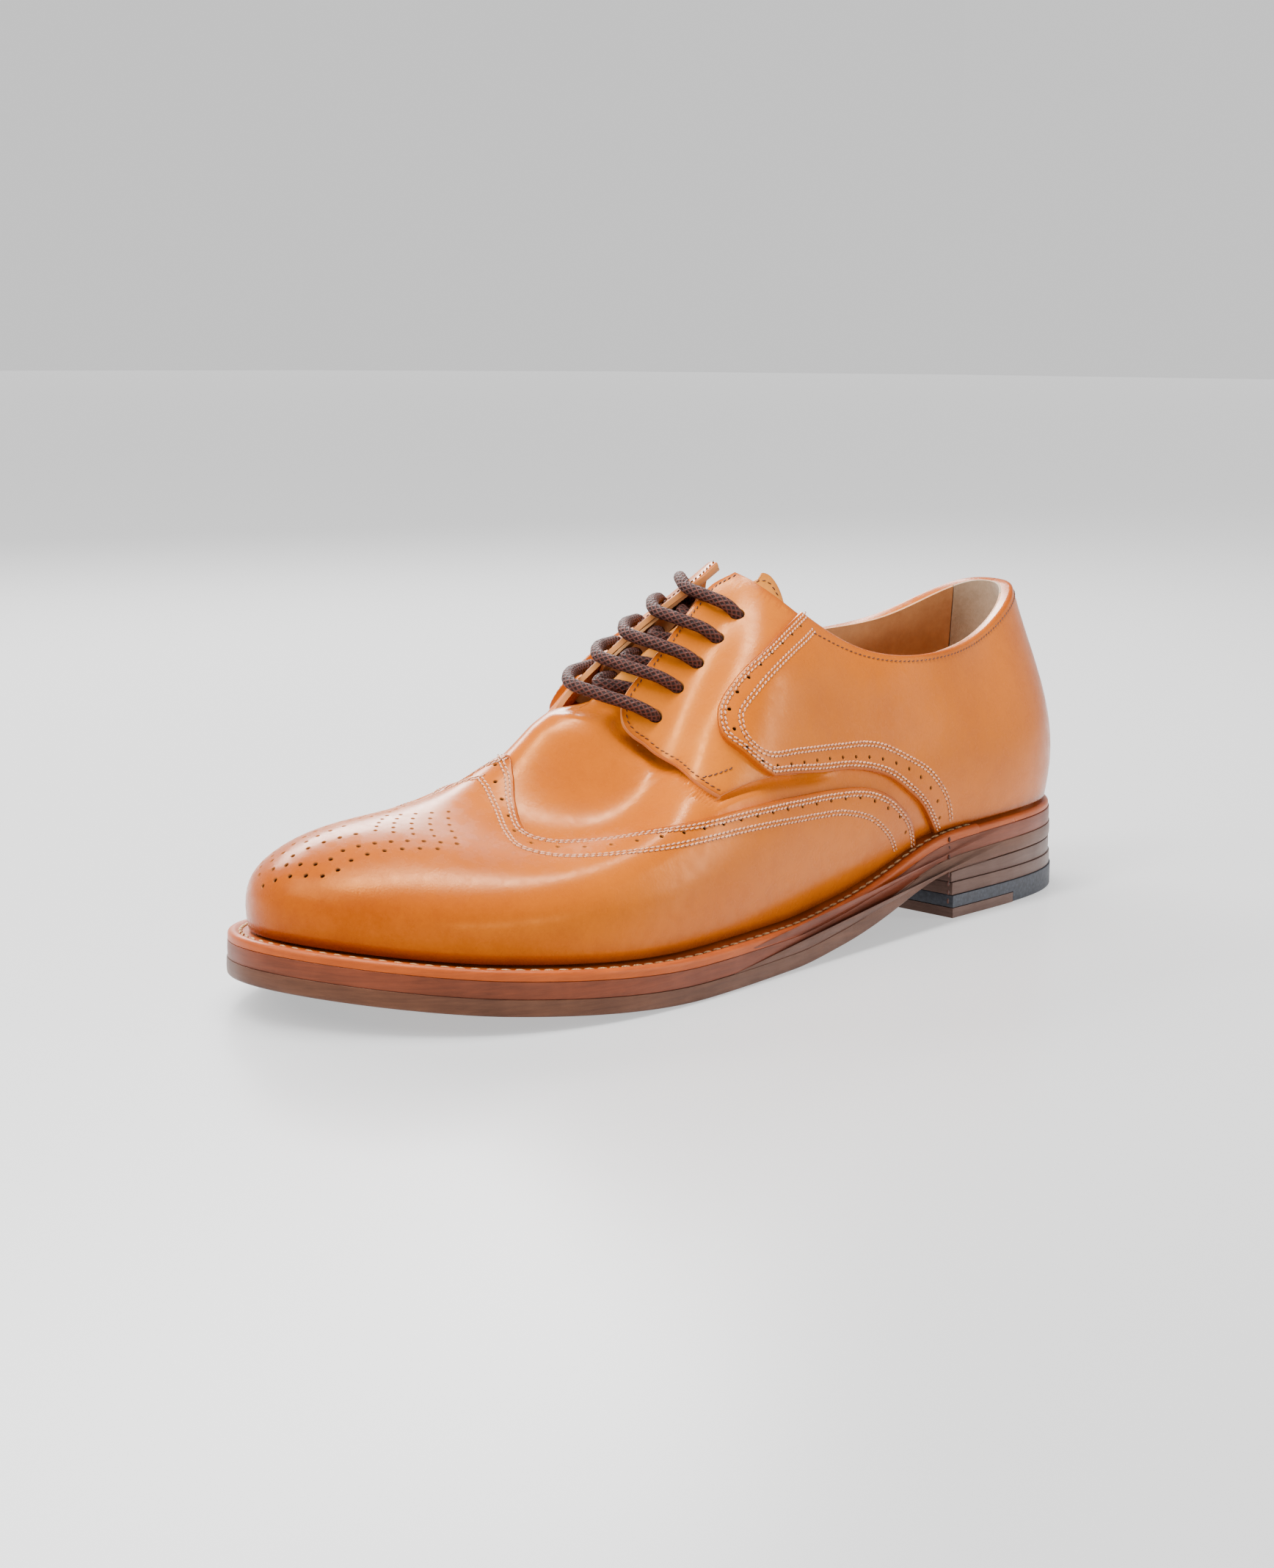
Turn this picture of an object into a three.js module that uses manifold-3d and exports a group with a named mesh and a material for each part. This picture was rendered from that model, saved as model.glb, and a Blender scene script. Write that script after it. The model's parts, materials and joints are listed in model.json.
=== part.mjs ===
// A left derby shoe with a wing cap, double leather sole and stacked heel. Millimetres, +Z up.
//
// Shape is worked out in last coordinates (s, t, z): s runs forward from the back of the heel,
// t runs to the outer side of the foot, z up. The model's axes are X = t and Y = -s, so the toe
// points along -Y. Every sheet of the upper is an offset of one surface, the outside of the shoe,
// whose parameter u runs once round the foot and v runs from the welt up to the ankle opening.

import * as THREE from "three";
import { mergeVertices } from "three/addons/utils/BufferGeometryUtils.js";
import Module from "manifold-3d";

const wasm = await Module();
wasm.setup();

// ---- driving dimensions ----------------------------------------------------------------------

const OUTSOLE = 4.7; // thickness of each sole layer
const MIDSOLE = 4.7;
const WELT = 2.7;
const WELT_TOP = OUTSOLE + MIDSOLE + WELT; // above the sole's underside
const CREASE = 0.5; // the upper starts this far above the welt
const GAP = 0.2; // clearance between layers of the sole and heel
const LEATHER = 1; // every sheet of the upper
const PLY = 1.65; // from one sheet to the next one in
const BREAST = 76; // front of the heel, from the back
const LACE_RADIUS = 1.85;
const HOLE_RADIUS = 2.2;

// Outline of the sole: control points of a closed cubic B-spline, from the back of the heel round
// the outer side to the toe and back round the inner side.
const OUTLINE = [
  [-1.5, -0.5],
  [3, 17],
  [20, 31],
  [50, 35],
  [82, 35.5],
  [113, 39.5],
  [145, 44.5],
  [177, 50.5],
  [210, 54.5],
  [241, 53.5],
  [271, 43.5],
  [295, 21.5],
  [310, -10],
  [300, -34],
  [276, -50.5],
  [246, -58],
  [212, -56],
  [178, -46.5],
  [146, -36.5],
  [114, -31],
  [82, -30.5],
  [50, -32.5],
  [19.5, -30],
  [2.5, -18.5],
];

// How far the upper stands in from that outline, control point by control point.
const HALF_MARGIN = [2.2, 2.2, 2.4, 3.6, 5.4, 6.4, 6.8, 6.8, 6.6, 6.4, 6.2];
const MARGIN = [2.2, ...HALF_MARGIN, 6.2, ...HALF_MARGIN.toReversed()];

// The ankle opening, back to front along the outer side, each with how much higher the inner side is.
const CENTRE_T = -1.6;
const OPENING_SIDE = [
  [13.5, 8, 95.5, 0.6],
  [26, 15.6, 90.5, 0.6],
  [45.5, 20.5, 83, 0.6],
  [67, 27.5, 80.5, 0.6],
  [89, 27, 80, 0.6],
  [107.5, 24.2, 83.5, 0.6],
  [122, 21.2, 91.5, 0.6],
  [131, 16.8, 99.3, 2],
  [134.8, 12, 103.4, 4],
  [137, 7, 106.3, 4],
  [138.4, 2.4, 108, 2.5],
];
const OPENING = [
  [8.3, CENTRE_T, 95.4],
  ...OPENING_SIDE.map(([s, t, z]) => [s, t, z]),
  [138.4, CENTRE_T, 109.3],
  ...OPENING_SIDE.toReversed().map(([s, t, z, rise]) => [s, 2 * CENTRE_T - t, z + rise]),
];

// Underside of the sole seen from the side: s, height, slope.
const UNDERSIDE = [
  [-5, 16.2, -0.03],
  [60, 14.9, -0.045],
  [80, 13.6, -0.14],
  [105, 7.6, -0.27],
  [135, 1.9, -0.11],
  [160, 0, 0],
  [200, 0, 0],
  [235, 1.8, 0.085],
  [265, 4.6, 0.095],
  [290, 7.6, 0.13],
  [315, 11.3, 0.16],
];

// Section of the upper at five columns of the outline, from welt to opening: share of the way in
// to the opening, bulge outwards, and share of the height.
const SECTIONS = [
  {
    column: 0,
    inward: [0.03, 0.12, 0.27, 0.46, 0.66, 0.85],
    bulge: [1.8, 2.75, 2.75, 2, 1.05, 0.4],
    height: [0.135, 0.28, 0.44, 0.595, 0.745, 0.88],
  },
  {
    column: 4,
    inward: [0.03, 0.105, 0.23, 0.405, 0.6, 0.81],
    bulge: [2.4, 3.65, 3.85, 3.2, 2.05, 0.9],
    height: [0.145, 0.3, 0.465, 0.62, 0.76, 0.885],
  },
  {
    column: 7,
    inward: [0, 0.045, 0.15, 0.295, 0.45, 0.65],
    bulge: [2.9, 4, 3.6, 2.5, 1.7, 1.1],
    height: [0.12, 0.255, 0.395, 0.565, 0.775, 0.95],
  },
  {
    column: 10,
    inward: [-0.01, 0.06, 0.215, 0.42, 0.59, 0.74],
    bulge: [2.2, 2.7, 1.9, 0.6, -0.1, -0.1],
    height: [0.12, 0.206, 0.256, 0.268, 0.385, 0.7],
  },
  {
    column: 12,
    inward: [-0.01, 0.025, 0.12, 0.29, 0.46, 0.65],
    bulge: [0, 0, 0, 0, 0, 0],
    height: [0.126, 0.236, 0.319, 0.333, 0.41, 0.745],
  },
];
const COLUMNS = OUTLINE.length;

// ---- curves ----------------------------------------------------------------------------------

const lerp = THREE.MathUtils.lerp;
const clamp = THREE.MathUtils.clamp;
const smoothstep = THREE.MathUtils.smoothstep;

// Point on a closed uniform cubic B-spline, at u turns round it.
function closedSpline(controls, u) {
  const count = controls.length;
  const x = (((u % 1) + 1) % 1) * count;
  const i = Math.floor(x);
  const f = x - i;
  const weights = [
    (1 - f) ** 3 / 6,
    (3 * f ** 3 - 6 * f ** 2 + 4) / 6,
    (-3 * f ** 3 + 3 * f ** 2 + 3 * f + 1) / 6,
    f ** 3 / 6,
  ];
  const at = (k) => controls[(i + k - 1 + count) % count];
  if (typeof controls[0] === "number") return weights.reduce((sum, w, k) => sum + w * at(k), 0);
  return controls[0].map((_, axis) => weights.reduce((sum, w, k) => sum + w * at(k)[axis], 0));
}

// Values of the clamped cubic B-spline basis with n control points, at v from 0 to 1.
function clampedBasis(v, n) {
  const knots = [0, 0, 0, ...Array.from({ length: n - 2 }, (_, i) => i / (n - 3)), 1, 1, 1];
  const x = clamp(v, 0, 1 - 1e-12);
  let basis = knots.slice(1).map((high, i) => (knots[i] <= x && x < high ? 1 : 0));
  for (let degree = 1; degree <= 3; degree++) {
    const next = [];
    for (let i = 0; i + 1 < basis.length; i++) {
      const rise = knots[i + degree] - knots[i];
      const fall = knots[i + degree + 1] - knots[i + 1];
      const left = rise > 0 ? ((x - knots[i]) / rise) * basis[i] : 0;
      const right = fall > 0 ? ((knots[i + degree + 1] - x) / fall) * basis[i + 1] : 0;
      next.push(left + right);
    }
    basis = next;
  }
  return basis;
}

// Height of the sole's underside above the ground at s, ignoring the heel.
function underside(s) {
  let i = UNDERSIDE.findIndex((row) => row[0] > s) - 1;
  i = clamp(i, 0, UNDERSIDE.length - 2);
  const [s0, z0, slope0] = UNDERSIDE[i];
  const [s1, z1, slope1] = UNDERSIDE[i + 1];
  const h = s1 - s0;
  const x = (s - s0) / h;
  const from = z0 * (1 + 2 * x) * (1 - x) ** 2 + slope0 * h * x * (1 - x) ** 2;
  return from + z1 * x * x * (3 - 2 * x) - slope1 * h * x * x * (1 - x);
}

function outline(u) {
  return closedSpline(OUTLINE, u);
}

function outward(u) {
  const step = 1e-4;
  const [s0, t0] = outline(u - step);
  const [s1, t1] = outline(u + step);
  const length = Math.hypot(s1 - s0, t1 - t0);
  return [-(t1 - t0) / length, (s1 - s0) / length];
}

// The outline moved in by a margin.
function inset(u, margin) {
  const [s, t] = outline(u);
  const [ns, nt] = outward(u);
  return [s - ns * margin, t - nt * margin];
}

// The line where the upper meets the welt.
function feather(u) {
  return inset(u, closedSpline(MARGIN, u));
}

// ---- the outside surface of the upper ----------------------------------------------------------

// One number of the section table for every column of the outline, both sides alike.
function sectionColumns(key, level) {
  return Array.from({ length: COLUMNS }, (_, column) => {
    const mirrored = Math.min(column, COLUMNS - column);
    let i = SECTIONS.findIndex((section) => section.column >= mirrored);
    i = Math.max(i, 1);
    const [low, high] = [SECTIONS[i - 1], SECTIONS[i]];
    const share = (mirrored - low.column) / (high.column - low.column);
    return lerp(low[key][level], high[key][level], share);
  });
}
const LEVELS = SECTIONS[0].height.length;
const TABLE = {};
for (const key of ["inward", "bulge", "height"])
  TABLE[key] = Array.from({ length: LEVELS }, (_, level) => sectionColumns(key, level));

function surfaceInside(u, v) {
  const [s, t] = feather(u);
  const [ns, nt] = outward(u);
  const [topS, topT, topZ] = closedSpline(OPENING, u);
  const bottomZ = underside(s) + WELT_TOP + CREASE;
  const basis = clampedBasis(v, LEVELS + 2);
  const blend = (key, end) =>
    TABLE[key].reduce(
      (sum, columns, level) => sum + basis[level + 1] * closedSpline(columns, u),
      basis[LEVELS + 1] * end,
    );
  const inward = blend("inward", 1);
  const bulge = blend("bulge", 0);
  const height = blend("height", 1);
  return new THREE.Vector3(
    s + inward * (topS - s) + bulge * ns,
    t + inward * (topT - t) + bulge * nt,
    bottomZ + height * (topZ - bottomZ),
  );
}

// The surface, carried on straight past the ankle opening where v is over 1.
function surface(u, v) {
  if (v <= 1) return surfaceInside(u, v);
  const step = 0.02;
  const edge = surfaceInside(u, 1);
  const slope = edge.clone().sub(surfaceInside(u, 1 - step)).divideScalar(step);
  return edge.addScaledVector(slope, v - 1);
}

// The way out of the surface, evened out a little so that deep offsets don't fold at the ridge.
function surfaceNormal(u, v) {
  const [du, dv] = [0.02, 0.005];
  const along = surface(u + du, v).sub(surface(u - du, v));
  const up = surface(u, v + dv).sub(surface(u, Math.max(v - dv, 0)));
  return up.cross(along).normalize();
}

// A point w outside the surface (inside it where w is negative).
function offset(u, v, w) {
  return surface(u, v).addScaledVector(surfaceNormal(u, v), w);
}

// ---- solids ----------------------------------------------------------------------------------

// Last coordinates to the model's axes.
function toModel({ x: s, y: t, z }) {
  return new THREE.Vector3(t, -s, z);
}

// A closed geometry from points in last coordinates and quads; it is turned to face outwards.
function closedGeometry(points, quads) {
  const position = new Float32Array(points.flatMap((p) => toModel(p).toArray()));
  const raw = new THREE.BufferGeometry();
  raw.setAttribute("position", new THREE.BufferAttribute(position, 3));
  raw.setIndex(quads.flatMap(([a, b, c, d]) => [a, b, c, a, c, d]));
  const merged = mergeVertices(raw, 1e-3);
  const at = (i) => new THREE.Vector3().fromBufferAttribute(merged.attributes.position, i);
  const triangles = [];
  let volume = 0;
  for (let i = 0; i < merged.index.count; i += 3) {
    const [a, b, c] = [0, 1, 2].map((k) => merged.index.getX(i + k));
    if (a === b || b === c || c === a) continue;
    triangles.push([a, b, c]);
    volume += at(a).dot(at(b).cross(at(c)));
  }
  merged.setIndex(triangles.flatMap(([a, b, c]) => (volume > 0 ? [a, b, c] : [a, c, b])));
  return merged;
}

// A sheet between two faces, each a function of (a, b) from 0 to 1; either may narrow to a point
// at an end.
function sheet(face, back, along, across) {
  const points = [];
  for (const side of [face, back])
    for (let i = 0; i <= along; i++)
      for (let j = 0; j <= across; j++) points.push(side(i / along, j / across));
  const id = (side, i, j) => (side * (along + 1) + i) * (across + 1) + j;
  const quads = [];
  for (let i = 0; i < along; i++)
    for (let j = 0; j < across; j++) {
      quads.push([id(0, i, j), id(0, i + 1, j), id(0, i + 1, j + 1), id(0, i, j + 1)]);
      quads.push([id(1, i, j), id(1, i, j + 1), id(1, i + 1, j + 1), id(1, i + 1, j)]);
    }
  for (let i = 0; i < along; i++) {
    quads.push([id(0, i, 0), id(1, i, 0), id(1, i + 1, 0), id(0, i + 1, 0)]);
    quads.push([
      id(0, i, across),
      id(0, i + 1, across),
      id(1, i + 1, across),
      id(1, i, across),
    ]);
  }
  for (let j = 0; j < across; j++) {
    quads.push([id(0, 0, j), id(0, 0, j + 1), id(1, 0, j + 1), id(1, 0, j)]);
    quads.push([
      id(0, along, j),
      id(1, along, j),
      id(1, along, j + 1),
      id(0, along, j + 1),
    ]);
  }
  return closedGeometry(points, quads);
}

// A curve through points in (u, v), as a function of a from 0 to 1.
function line(points) {
  const curve = new THREE.SplineCurve(points.map(([u, v]) => new THREE.Vector2(u, v)));
  return (a) => curve.getPoint(a).toArray();
}

// The other foot side of a (u, v) curve.
function mirrored(curve) {
  return (a) => {
    const [u, v] = curve(a);
    return [1 - u, v];
  };
}

// The (u, v) patch inside four border curves: low and high run along a, start and end along b.
function patch({ low, high, start, end }) {
  const mix = (p, q, share) => [lerp(p[0], q[0], share), lerp(p[1], q[1], share)];
  const first = start ?? ((b) => mix(low(0), high(0), b));
  const last = end ?? ((b) => mix(low(1), high(1), b));
  return (a, b) => {
    const ruled = mix(low(a), high(a), b);
    const sides = mix(first(b), last(b), a);
    const corners = mix(mix(low(0), low(1), a), mix(high(0), high(1), a), b);
    return [0, 1].map((axis) => ruled[axis] + sides[axis] - corners[axis]);
  };
}

// One sheet of the upper over a patch, from offset depth (outer face) inwards by a thickness.
function upperSheet(area, depth, along, across, thickness = LEATHER) {
  const face = (inwards) => (a, b) => {
    const [u, v] = area(a, b);
    return offset(u, v, depth(u, v) - inwards);
  };
  return sheet(face(0), face(thickness), along, across);
}

// The place on one side of a border, from back to front, where it reaches station s.
function placeAt(border, s, side) {
  let low = 0;
  let high = 0.5;
  for (let i = 0; i < 40; i++) {
    const middle = (low + high) / 2;
    if (border(side > 0 ? middle : 1 - middle)[0] < s) low = middle;
    else high = middle;
  }
  return side > 0 ? low : 1 - low;
}

// A plate that fills a border from station "from" to station "to" (null for the very end), between
// two heights, each a function of s.
function plate(border, from, to, bottom, top, along, across) {
  const span = (side) => {
    const end = side > 0 ? 0 : 1;
    const start = from === null ? end : placeAt(border, from, side);
    return [start, to === null ? 0.5 : placeAt(border, to, side)];
  };
  const [outerSpan, innerSpan] = [span(1), span(-1)];
  const place = (height) => (a, b) => {
    const outer = border(lerp(...outerSpan, a));
    const inner = border(lerp(...innerSpan, a));
    const s = lerp(outer[0], inner[0], b);
    return new THREE.Vector3(s, lerp(outer[1], inner[1], b), height(s));
  };
  return sheet(place(top), place(bottom), along, across);
}

// ---- boolean cuts ------------------------------------------------------------------------------

function asSolid(geometry) {
  const bare = new THREE.BufferGeometry();
  const source = geometry.index ? geometry.toNonIndexed() : geometry;
  bare.setAttribute("position", source.getAttribute("position").clone());
  const merged = mergeVertices(bare, 1e-3);
  return new wasm.Manifold(
    new wasm.Mesh({
      numProp: 3,
      vertProperties: merged.attributes.position.array,
      triVerts: new Uint32Array(merged.index.array),
    }),
  );
}

function asGeometry(made) {
  const { vertProperties, triVerts } = made.getMesh();
  const geometry = new THREE.BufferGeometry();
  geometry.setAttribute("position", new THREE.BufferAttribute(vertProperties, 3));
  geometry.setIndex(new THREE.BufferAttribute(triVerts, 1));
  return geometry;
}

// A round bar from one point to another, in last coordinates.
function bar(from, to, radius, sides = 12) {
  const [a, b] = [toModel(from), toModel(to)];
  const geometry = new THREE.CylinderGeometry(radius, radius, a.distanceTo(b), sides);
  const up = new THREE.Vector3(0, 1, 0);
  const turn = new THREE.Quaternion().setFromUnitVectors(up, b.clone().sub(a).normalize());
  geometry.applyQuaternion(turn);
  return geometry.translate(...a.lerp(b, 0.5).toArray());
}

function drilled(geometry, bars) {
  const cut = bars.reduce((solid, hole) => solid.subtract(asSolid(hole)), asSolid(geometry));
  return asGeometry(cut);
}

// ---- pattern lines of the upper, in (u, v) -----------------------------------------------------

// The wing cap's top edge, from the welt on the outer side to its peak in the middle.
const WING_EDGE = [
  [0.177, 0],
  [0.192, 0.175],
  [0.208, 0.335],
  [0.226, 0.432],
  [0.25, 0.47],
  [0.275, 0.47],
  [0.3, 0.468],
  [0.342, 0.486],
  [0.386, 0.53],
  [0.415, 0.545],
  [0.432, 0.535],
  [0.447, 0.565],
  [0.466, 0.67],
  [0.482, 0.75],
  [0.5, 0.79],
];
// Where the vamp stops under the cap, and where it stops under the quarters and the lace tabs.
const VAMP_FRONT = [
  [0.15, 0],
  [0.175, 0],
  [0.2, 0.02],
  [0.222, 0.2],
  [0.25, 0.29],
  [0.3, 0.29],
  [0.342, 0.3],
  [0.386, 0.34],
  [0.43, 0.35],
  [0.466, 0.46],
  [0.5, 0.56],
];
const VAMP_BACK = [
  [0.15, 0.06],
  [0.165, 0.25],
  [0.182, 0.43],
  [0.205, 0.58],
  [0.235, 0.65],
  [0.262, 0.66],
  [0.29, 0.67],
  [0.32, 0.72],
  [0.35, 0.8],
  [0.385, 0.855],
  [0.42, 0.882],
  [0.445, 0.896],
  [0.47, 0.903],
  [0.5, 0.905],
];
// The quarter's lower edge, from the back seam to the corner where it crosses the lace tab.
const QUARTER_LOW = [
  [0, 0],
  [0.03, 0],
  [0.06, 0],
  [0.09, 0],
  [0.12, 0],
  [0.145, 0],
  [0.165, 0],
  [0.174, 0.08],
  [0.189, 0.242],
  [0.209, 0.437],
  [0.232, 0.535],
  [0.26, 0.559],
  [0.291, 0.568],
];
const QUARTER_TOP = [
  [0, 1],
  [0.03, 1],
  [0.06, 1],
  [0.085, 1],
  [0.11, 1],
  [0.13, 1],
  [0.15, 1],
  [0.17, 1],
  [0.19, 1],
  [0.22, 1],
  [0.25, 1],
  [0.285, 1],
  [0.317, 1],
];
// The quarter's front edge over the lace tab, from that corner to the opening.
const QUARTER_FRONT = [
  [0.291, 0.568],
  [0.3, 0.602],
  [0.322, 0.7],
  [0.343, 0.772],
  [0.358, 0.833],
  [0.3615, 0.866],
  [0.353, 0.896],
  [0.333, 0.932],
  [0.322, 0.97],
  [0.317, 1],
];
// The lace tab: bottom edge, then its front curve and lace edge up to the opening.
const TAB_LOW = [
  [0.272, 0.562],
  [0.291, 0.568],
  [0.31, 0.567],
  [0.328, 0.566],
];
const TAB_FRONT = [
  [0.328, 0.566],
  [0.357, 0.684],
  [0.389, 0.781],
  [0.422, 0.834],
  [0.438, 0.851],
  [0.449, 0.867],
  [0.458, 0.894],
  [0.459, 0.92],
  [0.461, 0.95],
  [0.471, 0.978],
  [0.478, 0.99],
  [0.462, 1],
];
const TAB_TOP = [
  [0.3, 1],
  [0.35, 1],
  [0.41, 1],
  [0.462, 1],
];
const TAB_BACK = [
  [0.272, 0.562],
  [0.285, 0.62],
  [0.302, 0.69],
  [0.318, 0.76],
  [0.325, 0.83],
  [0.318, 0.87],
  [0.305, 0.92],
  [0.3, 1],
];
// The quarter lining: lower edge behind the vamp's back edge, top edge, and lace edge.
const LINING_LOW = [
  [0.0585, 0.02],
  [0.09, 0.02],
  [0.118, 0.02],
  [0.14, 0.05],
  [0.155, 0.28],
  [0.172, 0.47],
  [0.196, 0.62],
  [0.228, 0.69],
  [0.26, 0.7],
  [0.29, 0.71],
  [0.32, 0.76],
  [0.35, 0.835],
  [0.385, 0.878],
  [0.42, 0.9],
  [0.445, 0.912],
  [0.457, 0.918],
];
const LINING_TOP = [
  [0.0585, 1],
  [0.08, 1],
  [0.1, 1],
  [0.12, 1],
  [0.14, 1],
  [0.165, 1],
  [0.19, 1],
  [0.22, 1],
  [0.25, 1],
  [0.28, 1],
  [0.31, 1],
  [0.345, 1],
  [0.38, 1],
  [0.415, 1],
  [0.44, 1],
  [0.462, 1],
];
const LINING_FRONT = [
  [0.457, 0.918],
  [0.459, 0.935],
  [0.461, 0.955],
  [0.464, 0.98],
  [0.462, 1],
];
// Back edge of the toe puff, and top edge of the heel counter.
const PUFF_BACK = [
  [0.385, 0.02],
  [0.4, 0.24],
  [0.43, 0.29],
  [0.466, 0.4],
  [0.5, 0.5],
];
const COUNTER_TOP = [
  [-0.14, 0.06],
  [-0.12, 0.36],
  [-0.07, 0.5],
  [0, 0.56],
  [0.07, 0.5],
  [0.12, 0.36],
  [0.14, 0.06],
];
const HEEL_GRIP = 0.0575; // the heel-grip lining reaches this far round on each side
const TONGUE_ROOT = 0.909;
const TONGUE_SIDE = [
  [0.44, TONGUE_ROOT],
  [0.425, 0.935],
  [0.405, 0.96],
  [0.375, 0.98],
  [0.34, 1],
  [0.315, 1.02],
];
const TONGUE_TOP = [
  [0.315, 1.02],
  [0.335, 1.03],
  [0.36, 1.029],
  [0.4, 1.019],
  [0.45, 1.01],
  [0.5, 1.004],
  [0.55, 1],
  [0.6, 1],
  [0.64, 1.002],
  [0.67, 1.004],
  [0.68, 1.004],
];
const TONGUE_INNER_SIDE = [
  [0.56, TONGUE_ROOT],
  [0.575, 0.935],
  [0.595, 0.96],
  [0.625, 0.98],
  [0.655, 0.994],
  [0.68, 1.004],
];

// Lace holes of the outer and the inner tab, lowest first. The inner side's u runs further forward
// at the same v, so its holes have a higher v to lie across from the outer ones.
const OUTER_HOLES = [
  [0.4295, 0.877],
  [0.425, 0.91],
  [0.419, 0.934],
  [0.412, 0.956],
  [0.402, 0.976],
];
const INNER_HOLES = [
  [0.5747, 0.908],
  [0.5803, 0.9315],
  [0.5864, 0.951],
  [0.5942, 0.9685],
  [0.6015, 0.985],
];

// A line on the outer side and its mirror image, as one line across the shoe.
function bothSides(points) {
  const inner = points.slice(0, -1).toReversed();
  return [...points, ...inner.map(([u, v]) => [1 - u, v])];
}

// ---- depths of the sheets below the surface ----------------------------------------------------

const TOP_SHEET = 0.3; // outer face of the quarters and the wing cap
const SECOND_SHEET = TOP_SHEET - PLY; // vamp, lace tabs, toe puff, heel counter
const THIRD_SHEET = SECOND_SHEET - PLY; // linings
const TONGUE_SHEET = -8.9;

// The free edge of the tab and the throat, as v for a u on either side.
const TAB_EDGE = [
  [0.25, 0.55],
  [0.328, 0.565],
  [0.357, 0.684],
  [0.389, 0.781],
  [0.422, 0.834],
  [0.449, 0.866],
  [0.46, 0.885],
  [0.5, 0.885],
];
function tabEdge(u) {
  const side = Math.min(u, 1 - u);
  const i = clamp(TAB_EDGE.findIndex((row) => row[0] >= side) - 1, 0, TAB_EDGE.length - 2);
  const [[u0, v0], [u1, v1]] = [TAB_EDGE[i], TAB_EDGE[i + 1]];
  return lerp(v0, v1, clamp((side - u0) / (u1 - u0), 0, 1));
}

// The vamp lies under the cap and quarters, dips one sheet under the tabs, and drops to the tongue
// at the throat.
function vampDepth(u, v) {
  const side = Math.min(u, 1 - u);
  const edge = tabEdge(u);
  const underTab = smoothstep(side, 0.235, 0.262) * smoothstep(v, edge - 0.09, edge - 0.03);
  const atThroat = smoothstep(side, 0.36, 0.43) * smoothstep(v, edge - 0.024, edge + 0.014);
  const drop = SECOND_SHEET - PLY - TONGUE_SHEET;
  return SECOND_SHEET - PLY * underTab - drop * atThroat;
}

// ---- the group ---------------------------------------------------------------------------------

const group = new THREE.Group();
const MATERIALS = {
  leather: { color: 0xb9672a, roughness: 0.3 },
  lining: { color: 0xc08a55, roughness: 0.6 },
  suede: { color: 0xa89a84, roughness: 0.9 },
  sole_leather: { color: 0x6f5a50, roughness: 0.5 },
  heel_leather: { color: 0x6a564e, roughness: 0.5 },
  insole_leather: { color: 0xc79a68, roughness: 0.7 },
  cork: { color: 0x9c7448, roughness: 0.95 },
  rubber: { color: 0x4d4f57, roughness: 0.7 },
  stiffener: { color: 0xb0a080, roughness: 0.8 },
  lace: { color: 0x6b4a40, roughness: 0.85 },
  steel: { color: 0x9a9da0, roughness: 0.35, metalness: 1 },
  brass: { color: 0xb08d4a, roughness: 0.35, metalness: 1 },
  plastic: { color: 0x4a332c, roughness: 0.4 },
};

function add(name, material, geometry) {
  const mesh = new THREE.Mesh(geometry, new THREE.MeshStandardMaterial(MATERIALS[material]));
  mesh.name = name;
  group.add(mesh);
  return mesh;
}

// ---- sole --------------------------------------------------------------------------------------

const above = (height) => (s) => underside(s) + height;
const flat = (height) => () => height;
const soleEdge = (margin) => (u) => inset(u, margin);
const insideFeather = (margin) => (u) => inset(u, closedSpline(MARGIN, u) + margin);

// A band between two borders, from u0 to u1, between two heights above the underside.
function band(outer, inner, u0, u1, bottom, top, along) {
  const place = (height) => (a, b) => {
    const u = lerp(u0, u1, a);
    const [s, t] = [0, 1].map((axis) => lerp(outer(u)[axis], inner(u)[axis], b));
    return new THREE.Vector3(s, t, underside(s) + height);
  };
  return sheet(place(top), place(bottom), along, 1);
}

const MIDSOLE_BOTTOM = OUTSOLE;
const WELT_BOTTOM = OUTSOLE + MIDSOLE;
const CAVITY_MARGIN = 6; // the welt is this much wider than the upper's margin
const WELT_END = 62; // where the welt meets the heel rand

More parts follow.
